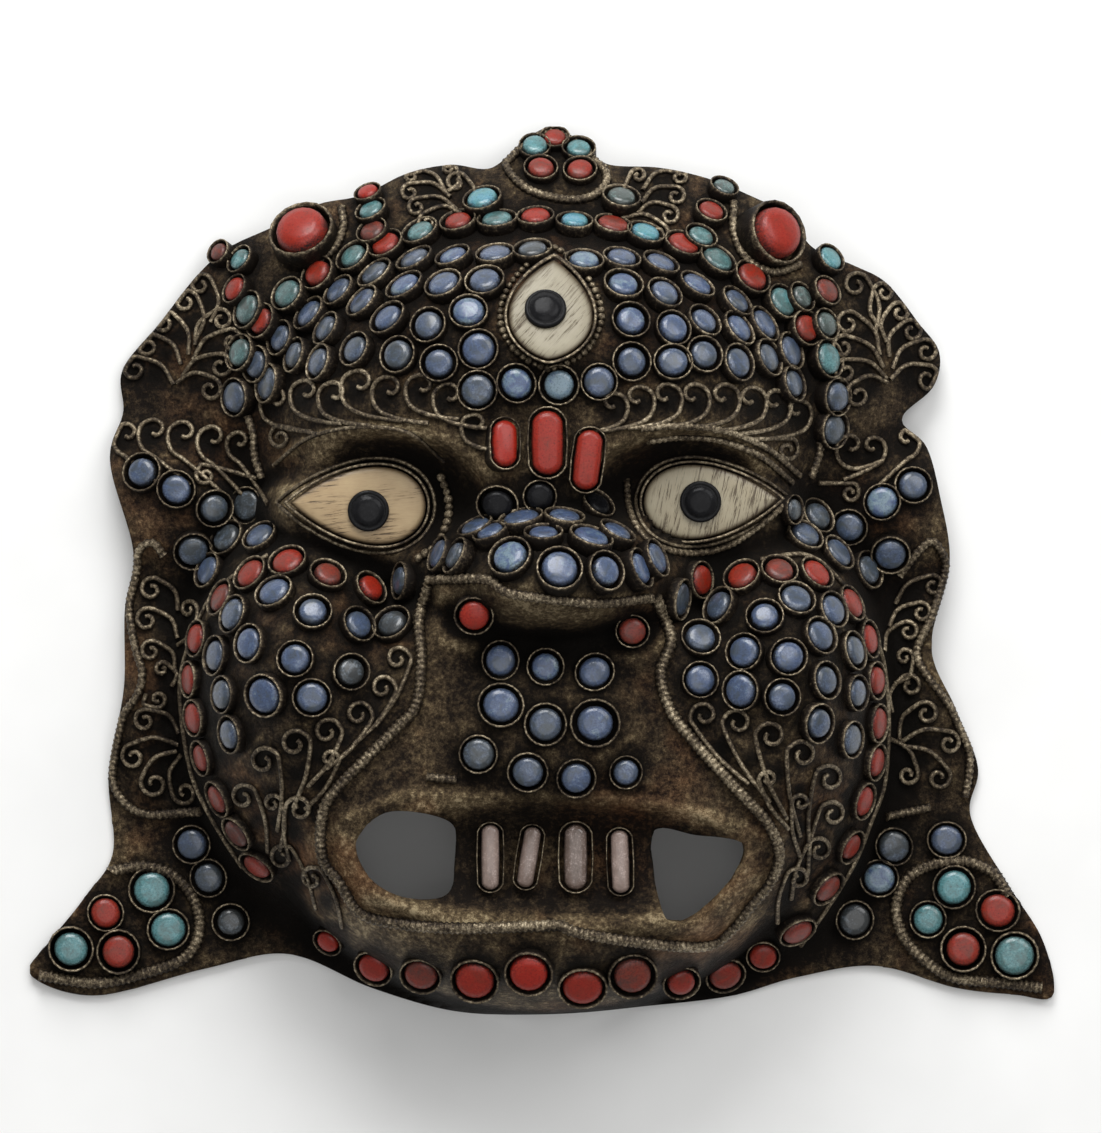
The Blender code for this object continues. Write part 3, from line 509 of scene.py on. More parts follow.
def bone_finish(name, pale, warm, grain_turn):
    """Old bone: cream with a warm cast, fine dark scratches along the grain, worn patches and painted shade
    along its edge.
    """
    material, shader, flow = start_finish(name)
    edge = stored(flow, "edge")
    turned = flow.make("Mapping", {"vector_type": "TEXTURE"},
                       {"Vector": own_place(flow), "Rotation": (0, 0, grain_turn), "Scale": (1, 1 / 14, 1)})
    scratch = flow.make("TexNoise", {}, {"Vector": turned, "Scale": 160, "Detail": 4, "Roughness": 0.75})
    fine = flow.make("TexNoise", {}, {"Vector": turned, "Scale": 420, "Detail": 2, "Roughness": 0.6})
    patch = spots(flow, 130, detail=3)
    lines = ((scratch - 0.53) * 14).clamped() * ((patch - 0.38) * 6).clamped()
    base = ((patch - 0.5) * 1.4 + (fine - 0.5) * 0.8 + 0.45).clamped().mixed(pale, warm)
    # Dark scratches, and painted shade on the edge where the bone meets its bezel.
    dark = (lines * 0.85 + edge ** 3 * 0.9).clamped()
    colour = dark.mixed(base, (0.05, 0.032, 0.018))
    bump = flow.make("Bump", {}, {"Strength": 0.25, "Distance": 0.0002, "Height": fine * 0.4 - lines})
    link(shader, Base_Color=colour, Roughness=0.42 + lines * 0.3, Normal=bump)
    return material


BONE_WARM = bone_finish("bone_warm", (0.42, 0.31, 0.17), (0.27, 0.175, 0.085), 0.1)
BONE_PALE = bone_finish("bone_pale", (0.37, 0.33, 0.235), (0.26, 0.215, 0.135), 1.35)
BONE_SLANT = bone_finish("bone_slant", (0.29, 0.26, 0.18), (0.2, 0.17, 0.11), 0.85)
print("stones and bone made:", len(bpy.data.materials), "finishes")

# %% [markdown]
# Turned shapes
#
# A cabochon and its collar are both round, so each is a profile spun once round an axis. The finished
# shape is kept as a stamp, and each setting presses it into the piece with its own size, tilt and tint.

# %% Stamps for stones and collars
STONE_SIDES = 18
COLLAR_SIDES = 18
BUTTON_SIDES = 32


def turned_stamp(name, profile, sides, closed):
    """Spin a profile of radius, height and a stored value into a small mesh."""
    mesh = bmesh.new()
    layer = mesh.verts.layers.float.new("edge")
    corners = []
    for radius, height, value in profile:
        corner = mesh.verts.new((radius, 0, height))
        corner[layer] = value
        corners.append(corner)
    pairs = list(zip(corners, corners[1:]))
    if closed:
        pairs.append((corners[-1], corners[0]))
    edges = [mesh.edges.new(pair) for pair in pairs]
    bmesh.ops.spin(mesh, geom=corners + edges, cent=(0, 0, 0), axis=(0, 0, 1), angle=2 * math.pi,
                   steps=sides, use_merge=True)
    bmesh.ops.remove_doubles(mesh, verts=mesh.verts, dist=1e-5)
    bmesh.ops.recalc_face_normals(mesh, faces=mesh.faces)
    data = bpy.data.meshes.new(name)
    mesh.to_mesh(data)
    mesh.free()
    return data


def drawn_out(stamp, reach):
    """A copy of a stamp, parted at its middle and pulled long, for teeth and long corals."""
    long_stamp = stamp.copy()
    for corner in long_stamp.vertices:
        side = (corner.co.y > 1e-4) - (corner.co.y < -1e-4)
        corner.co.y += reach * side
    return long_stamp


# Each profile gives radius, height and a stored value: on a stone or button, how much dirt and painted shade
# lie there; on a collar, how worn it is, with a painted highlight on its top and painted shade at its foot.
CABOCHON = turned_stamp("cabochon", ((0, -0.6, 0), (1, -0.6, 1), (1, 0.45, 1), (0.965, 0.68, 0.9),
                                     (0.85, 0.89, 0.45), (0.55, 0.98, 0.1), (0, 1.0, 0)), STONE_SIDES, False)
BUTTON = turned_stamp("button", ((0, -0.6, 0), (1, -0.6, 1), (1, 0.5, 1), (0.95, 0.72, 0), (0.84, 0.72, 1),
                                 (0.79, 0.62, 1), (0.74, 0.8, 0), (0.45, 0.96, 0), (0, 1.0, 0)),
                      BUTTON_SIDES, False)
COLLAR = turned_stamp("collar", ((1.30, -1.1, 0), (1.29, 0.5, 0.05), (1.285, 0.8, 0.7), (1.26, 0.94, 1.0),
                                 (1.19, 0.95, 1.0), (1.15, 0.62, 0.1), (1.13, 0.0, 0), (1.0, -1.1, 0)),
                      COLLAR_SIDES, True)
print("stamps:", len(CABOCHON.polygons), "and", len(COLLAR.polygons), "faces")

# %% [markdown]
# Pressing a stamp
#
# The matrix that carries a stamp to its place stands square to the sheet there, so stones on the
# sides of the face lean outwards as the real ones do, and look narrow from the front.

# %% Place settings on the sheet
def seat_matrix(x, y, half_width, half_length, height, turn=0.0, lift=0.0, lean=None):
    """The matrix that carries a stamp to a place on the sheet."""
    out = (lean or out_of_sheet(x, y)).normalized()
    along = Vector((math.cos(turn), math.sin(turn), 0))
    along = (along - along.dot(out) * out).normalized()
    across = out.cross(along)
    turned = Matrix((along, across, out)).transposed().to_4x4()
    place = in_metres(x, y, float(skin(x, y)) + lift)
    size = Matrix.Diagonal((half_width * MM, half_length * MM, height * MM, 1))
    return Matrix.Translation(place) @ turned @ size


def press(mesh, stamp, matrix, tint=0.5):
    """Add a stamp to a piece, carried by the matrix."""
    start = len(mesh.verts)
    mesh.from_mesh(stamp)
    layer = mesh.verts.layers.float.get("tint") or mesh.verts.layers.float.new("tint")
    fresh = list(mesh.verts)[start:]
    for corner in fresh:
        corner[layer] = tint
    bmesh.ops.transform(mesh, matrix=matrix, verts=fresh)


def finish_piece(name, mesh, material, nodes=()):
    """Turn a bmesh into a piece that rides with the mask."""
    data = bpy.data.meshes.new(name)
    mesh.to_mesh(data)
    mesh.free()
    return finish_data(name, data, material, nodes)


def corners_of(data):
    """Places of a mesh's corners, in metres."""
    places = np.empty(len(data.vertices) * 3)
    data.vertices.foreach_get("co", places)
    return places.reshape(-1, 3)


def kept_in_box(data):
    """Hold every corner inside the box of the solids."""
    places = np.clip(corners_of(data), np.array(cad_low), np.array(cad_high))
    data.vertices.foreach_set("co", places.ravel())
    data.update()


def finish_data(name, data, material, nodes=()):
    """Give a mesh its finish, hold it in the box of the solids and hang it on the mask's root, hiding the
    solids it stands for.
    """
    kept_in_box(data)
    data.name = name
    data.materials.clear()
    data.materials.append(material)
    data.polygons.foreach_set("use_smooth", [True] * len(data.polygons))
    piece = bpy.data.objects.new(name, data)
    bpy.context.scene.collection.objects.link(piece)
    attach(piece, "root")
    if nodes:
        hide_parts(*nodes)
    return piece


def store_rub_and_painted_light(data, values):
    """Store how much each corner is rubbed and lit by a painted highlight, from 0 to 1."""
    data.attributes.new("rub", "FLOAT", "POINT").data.foreach_set("value", values)


def rub_and_painted_light_by_height(data, full):
    """Rub each corner by how far it stands over the sheet, as a share of a full height: wear and a painted
    highlight on top, painted shade low down.
    """
    places = corners_of(data) / MM
    over = places[:, 2] - skin(places[:, 0] + CENTRE_X, places[:, 1] + CENTRE_Y)
    store_rub_and_painted_light(data, np.clip(over / full, 0, 1))


print("on the left cheek the sheet faces", [round(s, 2) for s in out_of_sheet(-46, -23)])

# %% [markdown]
# Where the stones sit
#
# The stones were set by eye, in rows that wander a little. Each list below is one kind of stone in
# one part of the face: its place on the drawing, its tint from dull to bright, and its radius where
# that isn't the usual one.

# %% Stones of the forehead and the band
FOREHEAD_LAPIS = (
    (-24.6, 61.3, .45), (-17, 61.7, .7), (-8.8, 62, .6), (-1.4, 62.9, .2), (-39.6, 55.3, .5),
    (-32.4, 58.5, .35), (-26.5, 55.9, .75), (-18.8, 56.1, .6), (-10.8, 56.7, .5), (-45.5, 50.8, .5),
    (-41.8, 47.7, .45), (-34.7, 52.9, .45), (-29.7, 49.5, .65), (-21.9, 48.2, .42), (-14, 50.8, .8),
    (-51.3, 46.2, .5), (-48.1, 42.7, .35), (-43.2, 41.1, .5), (-36.1, 43.5, .45), (-27.8, 42.4, .4),
    (-19.9, 40.8, .5), (-12.1, 43.6, .58), (-56.2, 41.2, .5), (-53.8, 37.3, .4), (-60.5, 34.8, .45),
    (-12.3, 35.5, .38), (-4.6, 36.9, .78), (3.8, 36.7, 1.0), (11.7, 37.2, .5), (8.7, 60.7, .95),
    (16, 61.2, .6), (23.7, 60.4, .65), (30.8, 56.1, .7), (38.6, 53, .5), (44, 48.6, .55),
    (49.3, 43.5, .45), (49.8, 37.1, .4), (16.4, 56.1, .78), (24.3, 54.3, .55), (17.9, 49.2, .72),
    (26.1, 47.6, .66), (32.1, 49, .5), (38.9, 47.6, .6), (18.1, 41.2, .45), (26.1, 41, .6),
    (32.2, 42.6, .5), (38.8, 41, .55), (44.8, 42.1, .35), (58.8, 34.8, .4), (58.3, 28.3, .3),
)
BAND_CORAL = (
    (-55.3, 49.7, .4), (-44, 59, .5), (-30.6, 64.6, .6), (-16.2, 69, .5), (-0.8, 69.8, .65),
    (14.4, 68.2, .45), (28.4, 64.5, .5), (42, 58.2, .4), (52.8, 48.3, .4), (-60.7, 56.1, .5, 2.6),
    (-64.2, 63.7, .1, 2.2), (-34.3, 75.1, .85, 2.3), (-33.3, 67.4, .15, 2.7), (34, 71.3, .5, 2.6),
    (56.9, 55.7, .1, 2.6),
)
BAND_TURQUOISE = (
    (-59.6, 43.5, .15), (-50, 55, .3), (-37, 62.3, .35), (-23.7, 67.1, .4), (-8.5, 69.2, .45),
    (6.8, 68.8, .85), (20.8, 66.6, .8), (35.1, 61.5, .4), (48, 53.4, .5), (57.2, 42.3, .5),
    (-58, 52, .2), (-59.8, 62.1, .5, 2.6), (-33.6, 71.6, .5, 2.6), (31.9, 66.2, .35, 2.6),
    (57.8, 62.2, .6, 2.6), (-11.4, 73.6, .9), (51.8, 54.3, 0, 2.5), (56.7, 49, 0, 2.6),
    (16.2, 74, .0), (36.7, 76.3, .1, 2.4),
)
NOSE_LAPIS = (
    (-3.5, 9.2, .62, 3.4), (4.7, 9.5, .6, 3.4), (14.8, 6.6, .6, 3.2), (-12.3, 7.6, .6, 3),
    (-9.3, 6.5, .7, 3), (0.7, 6.2, .6, 3.2), (9.8, 5.5, .66, 3.4), (22.1, 1.9, .6, 3.2),
    (-19.1, 2.8, .6, 3), (-15.7, 2.3, .3, 3), (18.9, 0, .68, 3.2),
    (27, -5.7, .3, 3.2), (-26.7, -2.3, .4, 3),
)
BRIDGE_JET = ((-8.4, 13.1, .05, 3.2), (0, 14.7, .05, 2.7), (10.9, 12.5, .12, 2.9))
print("forehead, band and nose:",
      sum(map(len, (FOREHEAD_LAPIS, BAND_CORAL, BAND_TURQUOISE, NOSE_LAPIS, BRIDGE_JET))), "stones")

# %% [markdown]
# The lower half of the face
#
# A row of coral borders each cheek, with lapis scattered inside it. More lapis runs from the temples
# down the ears to the pendants. The lists are written as the ones above.

# %% Stones of the cheeks, the ears and the chin
CHEEK_CORAL = (
    (-34.5, -4.2, .65), (-42.5, -1.6, .2), (-50, 1, .5), (-57.2, -1.3, .5), (-63.1, -6, .15),
    (-67.9, -14, .5), (-69.4, -22, .45), (-68.4, -29.6, .55), (-67, -37.5, .4), (-63.7, -45.5, .4),
    (-60, -52.2, .1), (-56.3, -58.8, .45), (31.1, -2, .55), (40.6, -1.9, .55), (47.5, -0.8, .2),
    (54.6, -1.3, .5), (61.4, -7.1, .45), (65, -14, .5), (66.3, -22.2, .55), (66.8, -30.7, .5),
    (66.4, -38.4, .45), (64, -46.1, .5), (61.6, -55.1, .45), (57.1, -63.3, .4), (51.4, -72, .35),
)
CHEEK_LAPIS = (
    (-52.4, -5, .5), (-60.3, -9.2, .5), (-45.1, -8.8, .6), (-36.7, -11.2, .55), (-29, -11.2, .05),
    (-63.9, -17.2, .45), (-57, -14.8, .55), (-48.2, -17.7, .6), (-37.9, -20.3, .08), (-62.2, -24.8, .4),
    (-54, -24.8, .6, 3.6), (-45.1, -25.2, .55), (-60.8, -32.6, .5), (36.3, -7.6, .4), (44.6, -9.7, .6),
    (50.6, -6.3, .45), (57.6, -8.3, .5), (31.7, -13.9, .42), (40.8, -16.4, .55), (48.8, -17.4, .6),
    (55, -13.4, .5), (61.7, -16.3, .45), (31.6, -21.9, .6), (40.2, -23.9, .55), (47.7, -25.2, .6),
    (56, -22, .5), (62.3, -24.5, .4), (54.5, -30.3, .5), (61.2, -33.7, .45),
)
EAR_LAPIS = (
    (-79.9, 19.5, .5), (-73.2, 16.1, .5), (-65.9, 12.4, .25), (-58.6, 12.9, .2), (-70, 4.2, .25),
    (-62.5, 5.9, .22), (-55.7, 6, .5), (-66.1, -0.5, .5), (75, 16.9, .55), (69, 13.6, .85),
    (62.5, 8.8, .55), (55.2, 10.3, .25), (52.6, 6.2, .5), (59.1, 2.8, .5), (70.7, 3.5, .55),
    (65.4, -0.3, .25), (49.8, 12, .05, 2.4), (-70.3, -55.4, .5), (-67, -62.3, .25),
    (-62.6, -71.2, .05), (71.5, -55.8, .25), (82.3, -54.6, .5), (68.7, -62.5, .85), (63.7, -70.8, .05),
)
CHIN_CORAL_ENDS = ((-42.3, -74.4, .85, 2.2), (45.1, -77.6, .5, 2.4))
print("cheeks, ears and chin:",
      sum(map(len, (CHEEK_CORAL, CHEEK_LAPIS, EAR_LAPIS, CHIN_CORAL_ENDS))), "stones")

# %% [markdown]
# The larger stones
#
# The stones of the lips, the nose, the chin, the crown's point and the pendants are solids in their own
# right, so each row starts with the name that its solids share.

# %% Stones that stand for solids of their own
NAMED_STONES = (
    ("upper_lip_lapis", "lapis", ((-7.8, -18.1, .72), (1.1, -19.3, .7), (10.7, -20.4, .6))),
    ("middle_lip_lapis", "lapis", ((-7.7, -26.8, .6, 3.6), (1.1, -30.5, .52, 3.5), (10.9, -30.3, .6, 3.8))),
    ("lower_lip_lapis", "lapis", ((-12.1, -36.4, .35), (-2.3, -39.9, .4), (7.1, -41, .55),
                                  (17, -40.1, .5, 2.7))),
    ("nose_lapis", "lapis", ((-5.5, 2, .8, 3.6), (3.8, -0.2, .62, 3.7), (12.4, -0.5, .66, 3.4))),
    ("chin_coral", "coral", ((-33.1, -79.4, .75, 2.8), (-23.6, -80.4, .35, 3), (-12.9, -81.3, .7, 3.5),
                             (-2.2, -79.7, .95, 3.5), (8.5, -82.6, .7, 3.4), (18.3, -80.3, .3, 3.5),
                             (28.1, -82, .55, 2.9), (37.2, -81.4, .45, 2.9))),
    ("crown_stone", "turquoise", ((-1.1, 84.7, .55, 2.7), (7.8, 84.3, .55, 2.7))),
    ("crown_stone_lower", "coral", ((0.2, 80.2, .5, 2.7), (8, 79.9, .45, 2.7))),
    ("left_pendant_stone", "turquoise", ((-78.6, -64.8, .6, 3.6), (-75.3, -72.8, .55, 3.4))),
    ("right_pendant_stone", "turquoise", ((83.8, -64.3, .6, 3.5), (78.6, -70.7, .5, 3))),
)
LEFT_OUTER = ((-88, -69.5, .5, 3), (-85.3, -77.2, .45, 3.1), (-94.9, -76.7, .5, 3.3))
RIGHT_OUTER = ((92.7, -69, .5, 3.5), (85.6, -76.7, .45, 3.4), (96, -78, .5, 3.6))
NOSTRIL_CORALS = ((-12.9, -8.7, .85, 3.1), (18.2, -12, .35, 2.7))
CROWN_TIP = (2.9, 86.6, .6, 2.5)
print("rows of larger stones:", len(NAMED_STONES))

# %% [markdown]
# Setting a stone
#
# A stone is set as a hand sets it: a little askew, a little larger or smaller than its neighbour, and
# facing away from the sheet. Each kind in one part of the face is
# one piece, and its collars are another.

# %% Set the small stones
STONE_RADIUS = 3.1
STONE_HEIGHT = 2.2
COLLAR_HEIGHT = 1.9
# Below this line lie the stones of the chin and the lowest ones of the pendants, a little larger.
CHIN_LINE = -74
CHIN_GROWTH = 1.12
CHIN_LIFT = 1.6
NOSTRIL_LIFT = 2.2
USUAL_LIFT = 0.15
ASKEW = 0.07
# How far past a stone's radius the sheet round it gets soot and painted shade.
SOOT_AND_SHADE_GROWTH = 1.2
STONE_FINISHES = {"lapis": LAPIS, "coral": CORAL, "turquoise": TURQUOISE, "jet": JET}
all_stones = []


def stone_lean(x, y):
    """The way a stone faces: nearly square to the sheet, apart from a few regions."""
    lean = out_of_sheet(x, y) + Vector((0, 0, 0.15))
    # The outer rows of the forehead lean away from its middle.
    if 28 < y < 78:
        away = Vector((x - 2, (y - 30) * 1.3, 0)).normalized()
        reach = math.hypot((x - 2) / 46, (y - 22) / 38)
        lean += away * 0.65 * min(max((reach - 0.85) / 0.3, 0), 1)
    # The rows over the nose look up, and those beside it look to their own side.
    if abs(x) < 26 and 3 < y < 11:
        lean += Vector((0.03 * x, 0.8, 0))
    if 15 < abs(x) < 28 and -7 < y < 4:
        lean += Vector((math.copysign(0.8, x), 0.25, 0))
    # The stones of the chin and the lips look ahead.
    if y < CHIN_LINE:
        lean = lean * 0.8 + Vector((0, 0, 0.7))
    elif abs(x - 2) < 22 and y < -6:
        lean = lean * 0.35 + Vector((0, 0, 1))
    return lean + Vector((random.uniform(-ASKEW, ASKEW), random.uniform(-ASKEW, ASKEW), 0))


def stone_lift(x, y):
    """How far a stone is raised over the sheet."""
    if y < CHIN_LINE:
        return CHIN_LIFT
    return NOSTRIL_LIFT if abs(x) < 20 and -14 < y < -6 else USUAL_LIFT


def set_stone(stones, collars, spot):
    """Press one stone and its collar, each a little askew as a hand sets them."""
    x, y, tint = spot[:3]
    radius = spot[3] if len(spot) > 3 else STONE_RADIUS
    lean = stone_lean(x, y)
    if y < CHIN_LINE:
        radius *= CHIN_GROWTH
    width = radius * random.uniform(0.95, 1.06)
    length = radius * random.uniform(0.95, 1.06)
    fill = random.uniform(0.9, 1.03)
    tint += random.uniform(-0.08, 0.08)
    turn = random.uniform(0, math.pi)
    lift = stone_lift(x, y)
    seat = (x, y, width * fill, length * fill, STONE_HEIGHT * random.uniform(0.85, 1.05), turn, lift)
    press(stones, CABOCHON, seat_matrix(*seat, lean=lean), tint)
    press(collars, COLLAR, seat_matrix(x, y, width, length, COLLAR_HEIGHT, turn, lift, lean))
    # The sheet round this collar gets soot and painted shade.
    all_stones.append((x, y, radius * SOOT_AND_SHADE_GROWTH))


def finish_collars(name, mesh):
    """Finish a piece of collars, which are rubbed, with a painted highlight and painted shade, where their
    profile says so.
    """
    data = finish_piece(name, mesh, WIRE_FINISH).data
    values = np.empty(len(data.vertices))
    data.attributes["edge"].data.foreach_get("value", values)
    store_rub_and_painted_light(data, values)


def set_group(name, kind, places):
    """One kind of stone in one part of the face, and the collars round them."""
    stones, collars = bmesh.new(), bmesh.new()
    for spot in places:
        set_stone(stones, collars, spot)
    finish_piece(name, stones, STONE_FINISHES[kind])
    finish_collars(name + "_collars", collars)
    print(name, len(places))


for group in (
    ("forehead_lapis_stones", "lapis", FOREHEAD_LAPIS), ("crown_band_corals", "coral", BAND_CORAL),
    ("crown_band_turquoises", "turquoise", BAND_TURQUOISE), ("upper_nose_lapis_stones", "lapis", NOSE_LAPIS),
    ("bridge_jet_stones", "jet", BRIDGE_JET), ("cheek_corals", "coral", CHEEK_CORAL),
    ("cheek_lapis_stones", "lapis", CHEEK_LAPIS), ("ear_lapis_stones", "lapis", EAR_LAPIS),
    ("chin_end_corals", "coral", CHIN_CORAL_ENDS),
):
    set_group(*group)

# %% [markdown]
# Stones with solids of their own
#
# The larger stones are separate solids, so each gets a finer stone in its place, one piece for one
# solid. Their collars are part of the sheet's solid, and are gathered in one piece.

# %% Named stones
def set_named(name, kind, spot, collars):
    """A finer stone that stands for one solid."""
    stones = bmesh.new()
    set_stone(stones, collars, spot)
    finish_piece(name + "_polished", stones, STONE_FINISHES[kind], (name,))


named_collars = bmesh.new()
for name, kind, places in NAMED_STONES:
    for index, spot in enumerate(places):
        set_named(f"{name}_{index + 1}", kind, spot, named_collars)
for side, places in (("left", LEFT_OUTER), ("right", RIGHT_OUTER)):
    for index, spot in enumerate(places):
        set_named(f"{side}_pendant_outer_stone_{index + 1}", "turquoise" if index == 2 else "coral",
                  spot, named_collars)
for index, spot in enumerate(NOSTRIL_CORALS):
    set_named(f"nostril_coral_{index + 1}", "coral", spot, named_collars)
set_named("crown_stone_top", "coral", CROWN_TIP, named_collars)
finish_collars("large_stone_collars", named_collars)
print("named stones set")

# %% [markdown]
# Long corals and teeth
#
# Three long corals stand over the nose and four teeth fill the mouth, each in a long collar. They are
# the same stamps pulled long, because a lapidary grinds them to the same rounded section. The two
# large corals of the crown are round, and lean outwards.

# %% Long corals, crown corals and teeth
# Place, half width, half length, turn and tint.
LONG_CORALS = (((-7.5, 24.8), 2.6, 4.7, 0, .9), ((1.5, 25.2), 3.2, 6.4, 0, .75),
               ((9.4, 21.9), 2.7, 6.0, -0.12, .7))
TEETH = (((-9.9, -57.1), 2.2, 6.5, 0, .75), ((-2.2, -57.1), 2.1, 6.1, -0.16, .5),
         ((7.1, -57.1), 2.8, 6.5, 0, .25), ((16, -58), 2.2, 6.3, 0.03, .8))
LONG_CORAL_HEIGHT = 3.0
TOOTH_HEIGHT = 3.2
TOOTH_FILL = 0.84
LONG_COLLAR_SHARE = 0.85
# Name, place, and the way in degrees that the coral leans to.
CROWN_CORALS = (("left_crown_coral", (-47.2, 66.6), 115), ("right_crown_coral", (46, 67), 26))
CROWN_CORAL_LEAN = math.radians(40)
CROWN_CORAL_RADIUS = 5.3
CROWN_CORAL_TINT = 0.75
CROWN_CORAL_HEIGHT, CROWN_CORAL_LIFT = 5.2, 2.5
CROWN_COLLAR_HEIGHT, CROWN_COLLAR_LIFT = 4.0, 1.0


def set_long(stones, collars, spot, half_width, half_length, height, turn, tint, fill=1.0):
    """Press a long stone and its long collar."""
    width = half_width * fill
    long_stone = drawn_out(CABOCHON, half_length / width - 1)
    long_collar = drawn_out(COLLAR, half_length / half_width - 1)
    press(stones, long_stone, seat_matrix(*spot, width, width, height, turn), tint)
    press(collars, long_collar, seat_matrix(*spot, half_width, half_width, height * LONG_COLLAR_SHARE, turn))


long_collars = bmesh.new()
for index, (spot, half_width, half_length, turn, tint) in enumerate(LONG_CORALS):
    stones = bmesh.new()
    set_long(stones, long_collars, spot, half_width, half_length, LONG_CORAL_HEIGHT, turn, tint)
    finish_piece(f"long_coral_{index + 1}", stones, CORAL, (f"brow_coral_{index + 1}",))
for name, (x, y), heading in CROWN_CORALS:
    way = math.radians(heading)
    out = Vector((math.sin(CROWN_CORAL_LEAN) * math.cos(way), math.sin(CROWN_CORAL_LEAN) * math.sin(way),
                  math.cos(CROWN_CORAL_LEAN)))
    seat = (x, y, CROWN_CORAL_RADIUS, CROWN_CORAL_RADIUS)
    stones = bmesh.new()
    press(stones, CABOCHON, seat_matrix(*seat, CROWN_CORAL_HEIGHT, lift=CROWN_CORAL_LIFT, lean=out),
          CROWN_CORAL_TINT)
    press(long_collars, COLLAR, seat_matrix(*seat, CROWN_COLLAR_HEIGHT, lift=CROWN_COLLAR_LIFT, lean=out))
    finish_piece(name + "_polished", stones, CORAL, (name,))
for index, (spot, half_width, half_length, turn, tint) in enumerate(TEETH):
    stones = bmesh.new()
    set_long(stones, long_collars, spot, half_width, half_length, TOOTH_HEIGHT, turn, tint, TOOTH_FILL)
    finish_piece(f"polished_tooth_{index + 1}", stones, TOOTH, (f"tooth_{index + 1}",))
finish_collars("long_stone_collars", long_collars)
print("long stones set")

# %% [markdown]
# Eyes
#
# Each eye is a slip of bone filed to an almond, slightly crowned, with a domed button of jet glued on.
# The almond is one formula: it leaves its sharp corner, is widest past its middle and closes round.

# %% Almond outline
# Name, corner, round end, half width on each side, how fast it opens and closes, bone and pupil.
EYES = (
    ("left", (-49.6, 13.4), (-22.9, 12.6), 7.6, 7.6, 0.92, 0.5, BONE_WARM, (-34.2, 11.8)),
    ("right", (47.3, 14.2), (20.8, 13.4), 7.4, 7.2, 0.92, 0.5, BONE_PALE, (32, 13.6)),
    ("third", (2.8, 61.4), (1.6, 41.8), 8.2, 8.2, 0.86, 0.66, BONE_SLANT, (1.1, 51.5)),
)
EYE_POINTS = 64
# Growth of the outline, rise over the eye's plane, and a stored value, ring by ring: painted shade on the
# bone's edge; on the bezel, wear with a painted highlight on its top and painted shade at its foot.
BONE_RINGS = ((0.1, -1.0, 1), (0.1, 0.4, 1), (-0.25, 0.75, 0.9), (-0.9, 0.95, 0.5),
              (-2.2, 1.1, 0.15), (-4.0, 1.2, 0))
BEZEL_RINGS = ((0.45, -1.4, 0), (0.45, 0.95, 0.5), (0.55, 1.1, 1), (0.85, 1.1, 1),
               (1.0, 0.9, 0.6), (1.05, -1.4, 0))
BUTTON_RADIUS = 4.15
BUTTON_HEIGHT = 1.9
BUTTON_LIFT = 0.9


def almond(corner, end, left, right, rise_power, fall_power, grow=0.0):
    """Outline of an eye, pointed at its corner and round at its other end."""
    corner = np.array(corner, float)
    axis = np.array(end, float) - corner
    length = np.hypot(*axis)
    along = axis / length
    side = np.array([-along[1], along[0]])
    corner = corner - along * grow * 1.6
    length += grow * 2.6
    widest = rise_power / (rise_power + fall_power)
    peak = widest ** rise_power * (1 - widest) ** fall_power
    places = []
    for index in range(EYE_POINTS):
        angle = 2 * math.pi * index / EYE_POINTS
        t = 0.5 - 0.5 * math.cos(angle)
        width = t ** rise_power * (1 - t) ** fall_power / peak
        reach = left + grow if index < EYE_POINTS / 2 else -right - grow
        places.append(corner + along * length * t + side * reach * width)
    return np.array(places)


def eye_plane(name):
    """Height of the plane that the eye's solid lies in, as a function of place, and the way it faces."""
    low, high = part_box(name + "_eye")
    middle = (low + high) / 2
    x, y = middle.x / MM + CENTRE_X, middle.y / MM + CENTRE_Y
    out = out_of_sheet(x, y)
    top = middle.z / MM

    def height(px, py):
        return top - ((px - x) * out.x + (py - y) * out.y) / out.z

    return height, out


def ringed(mesh, shape, height, rings, closed):
    """Rings of an eye's outline, bridged into a slip with a lid or into a closed band."""
    edge = mesh.verts.layers.float.get("edge") or mesh.verts.layers.float.new("edge")
    loops = []
    for grow, rise, value in rings:
        corners = []
        for px, py in almond(*shape, grow):
            corner = mesh.verts.new(in_metres(px, py, height(px, py) + rise))
            corner[edge] = value
            corners.append(corner)
        loops.append([mesh.edges.new(pair) for pair in zip(corners, corners[1:] + corners[:1])])
    for below, above in zip(loops, loops[1:] + loops[:1] if closed else loops[1:]):
        bmesh.ops.bridge_loops(mesh, edges=below + above)
    if not closed:
        bmesh.ops.edgeloop_fill(mesh, edges=loops[0])
        lid = bmesh.ops.edgeloop_fill(mesh, edges=loops[-1])["faces"]
        bmesh.ops.poke(mesh, faces=lid)
    bmesh.ops.recalc_face_normals(mesh, faces=mesh.faces)


eye_rims = {}
bezels = bmesh.new()
for name, corner, end, left, right, rise_power, fall_power, bone, pupil in EYES:
    height, out = eye_plane(name)
    shape = (corner, end, left, right, rise_power, fall_power)
    slab = bmesh.new()
    ringed(slab, shape, height, BONE_RINGS, closed=False)
    finish_piece(name + "_eye_bone", slab, bone, (name + "_eye",))
    ringed(bezels, shape, height, BEZEL_RINGS, closed=True)
    button = bmesh.new()
    base = height(*pupil) - float(skin(*pupil))
    press(button, BUTTON, seat_matrix(*pupil, BUTTON_RADIUS, BUTTON_RADIUS, BUTTON_HEIGHT,
                                      lift=base + BUTTON_LIFT, lean=out))
    finish_piece(name + "_pupil_button", button, JET, (name + "_pupil",))
    eye_rims[name] = (shape, height)
finish_collars("eye_bezels", bezels)
print("eyes:", list(eye_rims))

